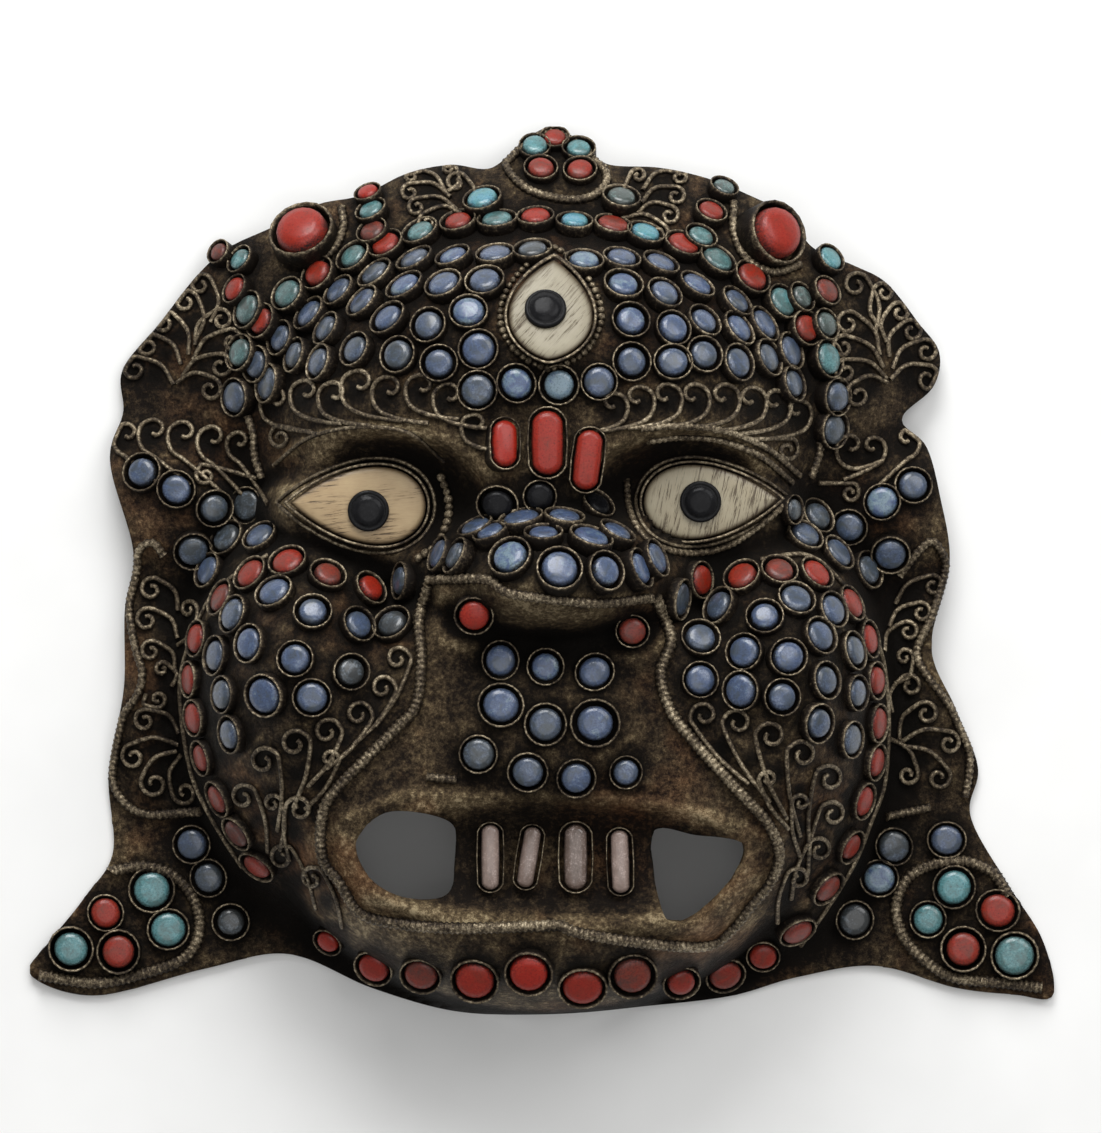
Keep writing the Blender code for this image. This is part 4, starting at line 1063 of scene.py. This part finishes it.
# %% [markdown]
# Wires and ropes
#
# Filigree is drawn wire, bent with pliers and soldered down. A rope is two wires twisted together.
# Both are curves with a small round section here. A rope's wire swells and narrows in a short rhythm,
# which reads as the turns of a twist from the distance of the photograph.

# %% Drawing wires along paths
WIRE_SPACING = 0.7
WIRE_ROUNDNESS = 2
ROPE_SPACING = 0.28
ROPE_PITCH = 1.12
ROPE_SWELL = 0.15


def lifted(path, lift):
    """Points in metres along a path, a little over the sheet."""
    heights = skin(path[:, 0], path[:, 1])
    return [in_metres(px, py, float(pz) + lift) for (px, py), pz in zip(path, heights)]


def draw_wires(name, paths, radius, lift, twisted=False, rings=()):
    """One piece of many wires, each through its guide points. The ends of a ring are joined."""
    curve = bpy.data.curves.new(name, "CURVE")
    curve.dimensions = "3D"
    curve.use_fill_caps = True
    spacing = ROPE_SPACING if twisted else WIRE_SPACING
    curve.bevel_depth = radius * MM
    curve.bevel_resolution = WIRE_ROUNDNESS
    for guide, closed in [(ring, True) for ring in rings] + [(path, False) for path in paths]:
        path = held_inside(curve_through(guide, spacing, closed), radius)
        spline = curve.splines.new("POLY")
        spline.points.add(len(path) - 1)
        for index, (point, place) in enumerate(zip(spline.points, lifted(path, lift))):
            point.co = (*place, 1)
            if twisted:
                point.radius = 1 + ROPE_SWELL * math.cos(2 * math.pi * index * spacing / ROPE_PITCH)
        spline.use_cyclic_u = closed
    holder = bpy.data.objects.new(name, curve)
    bpy.context.scene.collection.objects.link(holder)
    bpy.context.view_layer.update()
    data = bpy.data.meshes.new_from_object(holder.evaluated_get(bpy.context.evaluated_depsgraph_get()))
    bpy.data.objects.remove(holder)
    # Wires get wear and a painted highlight on their tops, and painted shade where they meet the sheet.
    rub_and_painted_light_by_height(data, lift + radius)
    finish_data(name, data, WIRE_FINISH)
    print(name, len(rings) + len(paths), "wires,", len(data.polygons), "faces")


print("turns in 10 mm of rope:", round(10 / ROPE_PITCH))

# %% [markdown]
# Where the ropes run
#
# Thick ropes frame the mouth, the nose, the crown's point, the ears and the pendants. Thinner ones
# follow the lids of the right eye, and short bars stand at the temples, under the ears and beside
# the lip.

# %% Ropes
MOUTH_ROPE_LEFT = ((-22, -3), (-24, -10), (-23.5, -18), (-24.6, -26.8), (-28.6, -31.5), (-34.5, -37.4),
                   (-39.2, -42.1), (-42.7, -46.8), (-43.6, -52.7), (-43, -58), (-40, -62),
                   (-36, -68), (-30, -70), (-20, -71), (-10, -71), (5, -70.5))
MOUTH_ROPE_RIGHT = ((23, -5.5), (24, -8), (26, -14), (24, -20.5), (26, -28), (30.4, -33.9), (35, -39),
                    (40.5, -45), (45.4, -50.5), (47.6, -56.5), (46, -62), (42, -67), (38, -72),
                    (33, -75), (20, -74), (8, -72), (4, -70.5))
NOSE_ROPE = ((-22, -2), (-16, -1.8), (-10, -2), (-6, -4.5), (5, -6), (13, -6.5), (22, -5.5))
CROWN_ROPE = ((-6.9, 82.2), (-3.4, 77.2), (1.9, 75), (7.2, 74.4), (11.3, 75.6), (13.4, 78.6), (12, 82.2),
              (8.4, 86), (3, 88.4), (-2.6, 86.6))
CORAL_RING_LEFT = ((-40, 73), (-39.6, 69), (-41.5, 64.5), (-46, 61.5), (-51.5, 61.8))
CORAL_RING_RIGHT = ((39, 74), (39, 68), (41.5, 62.5), (47, 59.8), (52.5, 61.5))
LEFT_EAR_ROPE = ((-76, 3), (-78, 5.4), (-80.5, 4.5), (-82, 0), (-83, -7.7), (-81.8, -15.4), (-80.3, -21),
                 (-81.5, -25.5), (-84.2, -29.5), (-86.2, -36.3), (-86.6, -42.4), (-84, -47.3),
                 (-78.8, -49.6), (-68.6, -49))
RIGHT_EAR_ROPE = ((72.6, -1.1), (76.1, 3.5), (79, 5.8), (81.4, 3), (82, -1), (80.6, -6.7), (77.7, -12.3),
                  (76.1, -16.9), (78.2, -21.5), (82.8, -27.6), (86, -33.2), (87, -39.3), (86, -46))
SMALL_BARS = (((70, -50), (79, -48)), ((-22.5, -41), (-16.5, -41.6)), ((-78.5, -49.6), (-68.5, -48.6)),
              ((-58.8, 31), (-57.6, 27), (-57.4, 23), (-56, 18.5)),
              ((57.2, 31), (56.4, 27), (56, 23), (54.4, 18.5)))
RIGHT_LID_ROPES = (((20, 28), (27, 28.6), (36, 27.8), (45, 24.4), (52, 19)),
                   ((21.5, 25.6), (28, 26.4), (36, 25.8), (44, 22.6), (50.5, 17.5)))
RIGHT_EYE_ROPE = ((17.2, 18), (17.8, 12), (20.4, 6.8), (25, 4.1), (31, 3.3), (37.5, 4.8), (43, 8.2),
                  (48.5, 12.6))
LEFT_PENDANT_ROPE = ((-87, -61), (-80, -60), (-74, -62), (-70, -67), (-69, -73), (-72, -78.5), (-80, -81.6),
                     (-90, -83.6), (-101.5, -82))
RIGHT_PENDANT_ROPE = ((95.4, -65.6), (91.8, -61.4), (86.2, -59), (80.5, -59.4), (75.5, -61.5), (72.9, -64.9),
                      (72.1, -69.7), (74, -75), (78.6, -79.6), (84.3, -82.6), (93.8, -83.6), (101.6, -84.6))
# Name, paths, rings, radius and lift.
ROPES = (
    ("mouth_ropes", (MOUTH_ROPE_LEFT, MOUTH_ROPE_RIGHT), (), 1.15, 0.75),
    ("nose_rope", (NOSE_ROPE,), (), 1.0, 0.6),
    ("crown_ropes", (CORAL_RING_LEFT, CORAL_RING_RIGHT), (CROWN_ROPE,), 0.9, 0.5),
    ("pendant_ropes", (LEFT_PENDANT_ROPE, RIGHT_PENDANT_ROPE), (), 1.15, 0.7),
    ("ear_ropes", (LEFT_EAR_ROPE, RIGHT_EAR_ROPE, *SMALL_BARS), (), 0.85, 0.55),
    ("right_eye_ropes", (*RIGHT_LID_ROPES, RIGHT_EYE_ROPE), (), 0.7, 0.45),
)
for name, paths, rings, radius, lift in ROPES:
    draw_wires(name, paths, radius, lift, twisted=True, rings=rings)

# %% [markdown]
# Scrolls
#
# The smith winds the end of a wire round a pin and leaves a tail, which runs to its neighbour. A
# scroll is a spiral whose last turn points at its tail.

# %% Filigree
FILIGREE_RADIUS = 0.5
FILIGREE_LIFT = 0.5
LEAF_SIZE = 1.2
LEAF_TURNS = 1.15
# Radius of the soot and painted shade in the middle of a comb's loop.
COMB_SOOT_AND_SHADE = 1.4
# A comb's loop about its middle, and how low its tail begins.
COMB = ((0.2, 0.6), (1.0, 0.2), (1.9, 0.7), (2.3, 1.8), (1.6, 3.0), (0, 3.4), (-2.0, 2.4), (-2.7, 0.2),
        (-1.8, -2.5), (0.8, -4.1), (4.5, -5.0), (8, -5.4))
COMB_TAIL = -2


def scroll(cx, cy, radius, tail_x, tail_y, hand, turns=1.25):
    """A spiral from its middle outwards, then a tail."""
    heading = math.atan2(tail_y - cy, tail_x - cx)
    last = heading - hand * math.pi / 2
    steps = int(10 * turns)
    guide = []
    for index in range(steps + 1):
        t = index / steps
        angle = last - hand * 2 * math.pi * turns * (1 - t)
        reach = radius * (0.28 + 0.72 * t)
        guide.append((cx + reach * math.cos(angle), cy + reach * math.sin(angle)))
    guide.append((tail_x, tail_y))
    return guide


def comb_loop(cx, cy, size=1.0, side=1, drop=0.0):
    """One loop of a comb: a small hook inside, over and down, and a long tail to its neighbours."""
    # The sheet in the middle of the loop gets soot and painted shade.
    all_stones.append((cx, cy, COMB_SOOT_AND_SHADE))
    return [(cx + side * size * px, cy + size * py - drop * max(px, 0) ** 1.3 * (py < COMB_TAIL))
            for px, py in COMB]


def frond(cx, cy, radius, stem_x, stem_y, hand, bow=1.5):
    """A leaf of a palmette: a small eye, a turn over its tip, and a bowed stem."""
    guide = scroll(cx, cy, radius * LEAF_SIZE, stem_x, stem_y, hand, LEAF_TURNS)
    last = np.array(guide[-2])
    stem = np.array((stem_x, stem_y))
    along = (stem - last) / max(np.hypot(*(stem - last)), 0.1)
    away = np.array((along[1], -along[0])) * hand
    guide.insert(-1, tuple((last + stem) / 2 + away * bow))
    # The sheet in the leaf's eye and beside its stem gets soot and painted shade.
    all_stones.append((cx, cy, radius * 0.8))
    all_stones.append((*(0.55 * np.array((cx, cy)) + 0.45 * stem + away * bow * 0.3), 1.0))
    return guide


print("guide points of a comb's loop:", len(COMB))

# %% [markdown]
# Combs, palmettes and curls
#
# Combs stand over the brows and at the temples, palmettes on the crown, and curls on the ears and the
# cheeks. Their places follow the real ones, and each group becomes one piece.

# %% Places of the filigree
# Middle of the loop, then its size, side and droop where they aren't the usual ones.
LEFT_BROW = ((-53.5, 33), (-47.3, 34.5), (-41.5, 34), (-36.5, 35.8, 1.15), (-30.5, 34.8, 1.05), (-24, 35.3),
             (-18.5, 33.5), (-13.3, 28, 0.85))
RIGHT_BROW = ((15, 32, 0.9), (20, 33), (25.5, 33.5), (31, 33.5), (37, 33.5), (42.5, 33), (47.5, 32.5),
              (52, 31, 0.9))
EAR_COMBS = ((-84, 26.5, 0.9, 1, 0.3), (-78.5, 27, 1, 1, 0.3), (-72.5, 26.5, 1, 1, 0.35),
             (-66.5, 25.5, 1, 1, 0.45), (-61, 25, 0.8, 1, 0.5), (62, 24, 0.9, 1, -0.2),
             (67.5, 24, 0.8, -1, 0.1), (74.5, 25.6, 0.8, -1, 0.3))
# Middle of the curl, its radius, the end of its tail, and the hand.
BROW_SCROLLS = ((-52, 26.5, 2.4, -44, 27, -1), (49.5, 24, 2.4, 41, 26, 1),
                (-67.5, 19, 2.2, -57, 18.5, -1), (62.5, 15.5, 2.0, 56, 17.5, 1))
brow_wires = [comb_loop(*entry) for entry in LEFT_BROW]
brow_wires += [comb_loop(*entry, side=-1) for entry in RIGHT_BROW]
brow_wires += [comb_loop(*entry) for entry in EAR_COMBS]
brow_wires += [scroll(*entry) for entry in BROW_SCROLLS]
draw_wires("brow_filigree", brow_wires, FILIGREE_RADIUS, FILIGREE_LIFT)

# Middle of the curl, its radius, the foot of the stem, and the hand.
FRONDS = (
    (-82, 40.6, 2.2, -74, 37.5, -1), (-79.3, 45.3, 2.2, -72.5, 41.5, -1), (-76, 50, 2.2, -71, 43.5, -1),
    (-71.6, 54.2, 2.2, -69.4, 46.5, -1), (-68.6, 57.6, 2.1, -66.4, 50, -1),
    (-64.2, 50.4, 2.0, -69.6, 45.5, 1),
    (-62, 46, 2.2, -70, 42.5, 1), (-64.3, 41, 2.2, -72.3, 39, 1), (-66.5, 36.4, 2.1, -73.4, 37.8, 1),
    (78.2, 38.6, 2.4, 70.6, 38.4, 1), (78, 44.2, 2.1, 71, 40.6, 1), (75, 48.2, 2.1, 70.4, 43, 1),
    (72.6, 52, 1.9, 69.8, 46, 1), (63.6, 57.4, 2.3, 67.6, 48, -1), (69.4, 56, 1.9, 68.8, 48.5, 1),
    (61.9, 49.6, 2.2, 68.4, 43.4, -1), (60.9, 44.8, 2.1, 69.2, 40.8, -1), (61.4, 39.9, 2.1, 69.8, 38.6, -1),
    (64, 35.2, 2.2, 70, 37.8, -1),
    (-16.9, 78, 1.9, -14.4, 73, -1), (-18.4, 80.9, 1.3, -18.6, 76.2, -1), (-25.9, 79.4, 1.3, -19, 76, -1),
    (-26.2, 76, 1.6, -18, 75, -1), (-24.8, 72.9, 1.6, -16.6, 72.3, -1), (-22.6, 69.8, 1.7, -15.8, 71.6, -1),
    (19.8, 79.4, 1.4, 18.6, 72.4, 1), (28, 79.2, 1.5, 20.6, 76.4, 1), (27.3, 75.2, 1.7, 20.4, 73.8, 1),
    (26, 71.2, 1.7, 19.4, 71.6, 1), (24, 67.6, 1.6, 16.6, 70.6, 1),
)
draw_wires("crown_palmettes", [frond(*entry) for entry in FRONDS], FILIGREE_RADIUS, FILIGREE_LIFT)

EAR_SCROLLS = (
    (-78.5, -3.9, 2.1, -73.2, -8.2, -1), (-79.4, -10.1, 2.1, -73.2, -13.8, -1),
    (-78.6, -16.4, 1.9, -73.8, -20.6, -1), (-76.4, -20, 1.3, -74.4, -23.5, -1),
    (-70.9, -8, 1.7, -73.2, -15.2, -1), (-77.2, -26.1, 1.5, -79.5, -25, -1),
    (-79.8, -30.4, 2.0, -73, -33, -1), (-82.2, -37.8, 2.2, -73, -35.4, -1),
    (-78, -43.2, 2.4, -73.5, -36.6, -1), (-71.8, -45, 2.2, -72.6, -37.4, -1),
    (79.4, -3.2, 1.9, 71.8, -6.8, 1), (77, -8.6, 1.8, 70.4, -11.6, 1),
    (74.4, -12.4, 1.8, 69.4, -16.4, 1), (73.6, -17.6, 1.6, 71.4, -23, -1),
    (74.8, -23.4, 2.0, 71, -28.6, 1), (78, -29, 2.1, 72.6, -34.2, 1),
    (82.6, -35, 2.0, 73, -34.8, 1), (80.6, -42, 2.1, 73.4, -35.6, 1),
    (74.4, -41.4, 1.8, 70.4, -34, 1),
)
BORDERS = (
    ((-54.3, 2.9), (-60.4, -0.6), (-65.9, -5.4), (-68.8, -10.8), (-71.3, -16.9), (-72.6, -23), (-72.2, -30.6),
     (-71, -38.3), (-69, -44.8), (-64.5, -53), (-60, -60)),
    ((44, 2), (53.2, 2.9), (60, -2.2), (65.9, -11), (68.6, -17), (69.8, -24), (70.2, -33.2), (69.4, -43.4),
     (66.6, -51), (63.4, -59), (58, -68), (52.6, -76)),
)
draw_wires("ear_filigree", [frond(*entry) for entry in EAR_SCROLLS], FILIGREE_RADIUS, FILIGREE_LIFT)
draw_wires("border_wires", BORDERS, 0.6, 0.4)

LEFT_CHEEK = ((-28.2, -17.6, 2.2, -32.6, -31, -1), (-31.2, -23.4, 2.3, -37, -34.6, -1),
              (-36, -28.6, 2.4, -42.4, -39.4, -1), (-42.2, -32, 2.5, -46, -43, -1),
              (-48.6, -34.4, 2.6, -49, -47.2, -1), (-54.8, -38, 2.6, -52.4, -52, -1),
              (-59.2, -45.4, 2.4, -54.6, -56.5, -1), (-47.8, -47.6, 2.3, -50, -58, 1),
              (-41.6, -37.4, 1.5, -46.6, -47.5, -1), (-53.2, -46.4, 1.6, -52, -56, -1))
RIGHT_CHEEK = ((32.6, -28.8, 2.4, 41.4, -42.4, 1), (39.2, -30.2, 2.5, 45.6, -46, 1),
               (45.8, -32.9, 2.6, 49, -49.4, 1), (52, -36.6, 2.6, 51.8, -53, 1),
               (57.6, -41.6, 2.6, 53.8, -57, 1), (58.4, -48.8, 2.4, 53.6, -61, 1),
               (55.8, -56, 2.3, 50.4, -66, 1), (51.6, -61.8, 2.1, 47.8, -71, 1),
               (45.2, -41.4, 1.5, 49.4, -51.5, 1), (51.8, -46.2, 1.5, 51.8, -57, 1))
CHIN_SCROLLS = ((-51.6, -57.6, 2.4, -45, -68, -1), (-45.4, -61.6, 2.2, -39.6, -71.6, -1))
CHEEK_BOW = 0.8
cheek_wires = [frond(*entry, CHEEK_BOW) for entry in (*LEFT_CHEEK, *RIGHT_CHEEK, *CHIN_SCROLLS)]
draw_wires("cheek_filigree", cheek_wires, FILIGREE_RADIUS, FILIGREE_LIFT)

# %% [markdown]
# Beads and lids
#
# Grains of melted brass stand in a row round the third eye and beside the inner end of the left one.
# A thin wire follows the bezels of the two lower eyes a little further out, and one more marks the
# left lid.

# %% Beads round the eyes
BEAD_RADIUS, BEAD_PITCH, BEAD_LIFT = 0.74, 1.35, 0.5
LARGE_BEAD_RADIUS, LARGE_BEAD_PITCH, LARGE_BEAD_LIFT = 0.95, 1.6, 0.7
FULL_BEAD = 1.1
INNER_GRAINS = ((-19.6, 18.5), (-18.2, 14), (-18.4, 9.5), (-20.6, 5), (-24, 2.4))
LEFT_LID = ((-53.5, 21), (-46, 26.4), (-36, 28.4), (-26, 27.2), (-19, 21.5))
# How far each row stands outside its eye's outline.
THIRD_GROWTH, LEFT_GROWTH, RIGHT_GROWTH = 1.85, 1.9, 1.7


def bead_row(mesh, places, lift, radius):
    """Small round grains along a path."""
    for px, py in places:
        size = radius * random.uniform(0.85, 1.1)
        place = in_metres(px, py, float(skin(px, py)) + lift)
        bmesh.ops.create_icosphere(mesh, subdivisions=2, radius=size * MM, matrix=Matrix.Translation(place))


beads = bmesh.new()
third_ring = almond(*eye_rims["third"][0], THIRD_GROWTH)
bead_row(beads, curve_through(third_ring, BEAD_PITCH, closed=True), BEAD_LIFT, BEAD_RADIUS)
bead_row(beads, curve_through(INNER_GRAINS, LARGE_BEAD_PITCH), LARGE_BEAD_LIFT, LARGE_BEAD_RADIUS)
# The beads get wear and a painted highlight on their tops, and painted shade at their feet.
rub_and_painted_light_by_height(finish_piece("eye_beads", beads, WIRE_FINISH).data, FULL_BEAD)
lid_rings = (almond(*eye_rims["left"][0], LEFT_GROWTH)[::2], almond(*eye_rims["right"][0], RIGHT_GROWTH)[::2])
draw_wires("lid_wires", (LEFT_LID,), 0.42, 0.3, rings=lid_rings)

# %% [markdown]
# The hammered sheet
#
# The sheet starts as a flat grid with one corner about every millimetre. Faces outside the outline
# and in the two openings of the mouth are cut away, the cut edges are filed to the curve, and every
# corner is lifted to the height of the face. Small lumps and dents are the marks of the hammer. Under
# an eye the sheet stays below the slip of bone that lies on it.

# %% Cut and raise the sheet
GRID_STEP = 0.92
HALF_WIDE = 104.5
HALF_TALL = 91.0
LUMP_PITCH, LUMP_RISE = 0.35, 0.24
DENT_PITCH, DENT_RISE = 0.9, 0.14
EYE_BED_GROWTH, EYE_BED_LIFT = 0.6, 0.2


def cut_sheet():
    """A flat grid trimmed to the outline and the openings."""
    mesh = bmesh.new()
    bmesh.ops.create_grid(mesh, x_segments=round(2 * HALF_WIDE / GRID_STEP),
                          y_segments=round(2 * HALF_TALL / GRID_STEP), size=1,
                          matrix=Matrix.Diagonal((HALF_WIDE, HALF_TALL, 1, 1)))
    centres = np.array([face.calc_center_median()[:2] for face in mesh.faces])
    keep = inside(centres, OUTLINE_LOOP)
    for loop in MOUTH_LOOPS:
        keep &= ~inside(centres, loop)
    spare = [face for face, kept in zip(mesh.faces, keep) if not kept]
    bmesh.ops.delete(mesh, geom=spare, context="FACES")
    loops = [OUTLINE_LOOP] + MOUTH_LOOPS
    rim = [corner for corner in mesh.verts if corner.is_boundary]
    places = np.array([corner.co[:2] for corner in rim])
    feet = np.stack([nearest_on(places, loop) for loop in loops])
    closest = np.argmin(((feet - places) ** 2).sum(2), axis=0)
    for index, corner in enumerate(rim):
        corner.co.x, corner.co.y = feet[closest[index], index]
    return mesh


sheet = cut_sheet()
flat = np.array([corner.co[:2] for corner in sheet.verts])
heights = skin(flat[:, 0], flat[:, 1])
lumps = np.array([noise.noise(Vector((px * LUMP_PITCH, py * LUMP_PITCH, 0))) for px, py in flat])
dents = np.array([noise.noise(Vector((px * DENT_PITCH, py * DENT_PITCH, 5))) for px, py in flat])
heights = np.maximum(heights + LUMP_RISE * lumps + DENT_RISE * dents, SHEET_WALL)
for shape, eye_height in eye_rims.values():
    under = inside(flat, almond(*shape, EYE_BED_GROWTH))
    heights[under] = np.minimum(heights[under], eye_height(*flat[under].T) + EYE_BED_LIFT)
for corner, (px, py), pz in zip(sheet.verts, flat, heights):
    corner.co = in_metres(px, py, pz)
print("sheet:", len(sheet.faces), "faces on its front")

# %% [markdown]
# Rubbed places, soot and painted shade
#
# A place is rubbed where it stands higher than the metal close around it. It gets soot and painted
# shade beside a collar or a curl of wire, and where it lies lower than the metal further off.

# %% Store wear, soot and painted shade on the sheet
NEAR_RING, FULL_RUB, EVEN_RUB = 3.5, 1.6, 0.35
# Soot and painted shade: where they start and fill in hollows, how fast they fade from a collar or wire, and
# their weight in hollows.
WIDE_RING, SOOT_AND_SHADE_START, FULL_SOOT_AND_SHADE = 9, 0.3, 5
SOOT_AND_SHADE_FADE = 1.8
HOLLOW_SOOT_AND_SHADE = 0.8


def mean_around(reach):
    """Mean height of the metal on a ring round each corner."""
    angles = np.linspace(0, 2 * math.pi, 8, endpoint=False)
    ring = [skin(flat[:, 0] + reach * math.cos(a), flat[:, 1] + reach * math.sin(a)) for a in angles]
    return sum(ring) / len(ring)


proud = np.clip((heights - mean_around(NEAR_RING)) / FULL_RUB + EVEN_RUB, 0, 1)
sunken = np.clip((mean_around(WIDE_RING) - heights - SOOT_AND_SHADE_START) / FULL_SOOT_AND_SHADE, 0, 1)
tree = kdtree.KDTree(len(all_stones))
for index, (x, y, radius) in enumerate(all_stones):
    tree.insert((x, y, 0), index)
tree.balance()
# Soot and painted shade beside collars and wires and in hollows.
soot_and_shade_values = []
for (px, py), low_share in zip(flat, sunken):
    found = tree.find((px, py, 0))
    near = math.exp(-max(found[2] - all_stones[found[1]][2], 0) / SOOT_AND_SHADE_FADE)
    soot_and_shade_values.append(min(near + low_share * HOLLOW_SOOT_AND_SHADE, 1))
rub_layer = sheet.verts.layers.float.new("rub")
soot_and_shade_layer = sheet.verts.layers.float.new("soot")
for corner, rub_value, soot_and_shade_value in zip(sheet.verts, proud, soot_and_shade_values):
    corner[rub_layer] = rub_value
    corner[soot_and_shade_layer] = soot_and_shade_value
print("rubbed on average:", round(float(proud.mean()), 2))

# %% [markdown]
# The wall
#
# So far the sheet has no thickness. Solidify gives it the solid's wall on the inner side, so that the
# hammered front stays where it is. At a steep edge the wall would lean out past the solids, so
# the result becomes a plain mesh, and its corners are held inside their box.

# %% Give the sheet its wall
bmesh.ops.recalc_face_normals(sheet, faces=sheet.faces)
if sum(face.normal.z for face in sheet.faces) < 0:
    bmesh.ops.reverse_faces(sheet, faces=sheet.faces)
shell = finish_piece("hammered_sheet", sheet, SHEET_FINISH, ("mask_shell",))
wall = shell.modifiers.new("true_wall", "SOLIDIFY")
wall.thickness = SHEET_WALL * MM
wall.offset = -1
bpy.context.view_layer.update()
walled = bpy.data.meshes.new_from_object(shell.evaluated_get(bpy.context.evaluated_depsgraph_get()))
shell.modifiers.clear()
kept_in_box(walled)
shell.data = walled
print("sheet raised to", round(float(heights.max()), 1), "mm")

# %% [markdown]
# Floor, light and camera
#
# The mask lies face up on pale paper. A long lens looks straight down, because the photograph shows
# the face square on. One large soft light stands beyond the crown, which puts the small highlights on
# the upper edge of every stone, a weaker one fills from the right, and a wide, faint one hangs overhead.

# %% Studio
CAMERA_DISTANCE = 2.0
VIEW_TALL = 0.2266
VIEW_CENTRE = (0.00181, 0.0008, 0.027)
LIGHT_AIM = Vector((0, 0, 0.02))
ROOM_LIGHT = 0.33

floor_mesh = bmesh.new()
bmesh.ops.create_grid(floor_mesh, x_segments=1, y_segments=1, size=3)
floor_data = bpy.data.meshes.new("paper_floor")
floor_mesh.to_mesh(floor_data)
floor_mesh.free()
paper, paper_shader, paper_flow = start_finish("paper")
fibre = spots(paper_flow, 40, detail=2)
link(paper_shader, Base_Color=fibre.ramp((0.3, (0.83, 0.83, 0.82)), (0.7, (0.87, 0.87, 0.86))), Roughness=0.9)
floor_data.materials.append(paper)
floor = bpy.data.objects.new("paper_floor", floor_data)
bpy.context.scene.collection.objects.link(floor)


def add_light(name, place, size, power):
    """A soft square light that looks at the mask."""
    lamp = bpy.data.lights.new(name, "AREA")
    lamp.size = size
    lamp.energy = power
    holder = bpy.data.objects.new(name, lamp)
    holder.location = place
    holder.rotation_euler = (LIGHT_AIM - Vector(place)).to_track_quat("-Z", "Y").to_euler()
    bpy.context.scene.collection.objects.link(holder)


add_light("window_light", (-0.15, 1.15, 0.8), 0.8, 18)
add_light("side_light", (0.75, 0.7, 1.0), 0.8, 7)
add_light("ceiling_light", (0.05, -0.1, 1.7), 1.3, 7)
world = bpy.data.worlds.new("studio")
bpy.context.scene.world = world
world.use_nodes = True
world.node_tree.nodes["Background"].inputs["Color"].default_value = (1, 1, 1, 1)
world.node_tree.nodes["Background"].inputs["Strength"].default_value = ROOM_LIGHT
bpy.context.scene.view_settings.view_transform = "Standard"

lens = bpy.data.cameras.new("camera")
lens.lens = lens.sensor_width * CAMERA_DISTANCE / VIEW_TALL
lens.clip_start = 0.1
lens.clip_end = 10
camera = bpy.data.objects.new("camera", lens)
camera.location = (VIEW_CENTRE[0], VIEW_CENTRE[1], VIEW_CENTRE[2] + CAMERA_DISTANCE)
bpy.context.scene.collection.objects.link(camera)
bpy.context.scene.camera = camera
print("camera", round(lens.lens), "mm at", CAMERA_DISTANCE, "m")
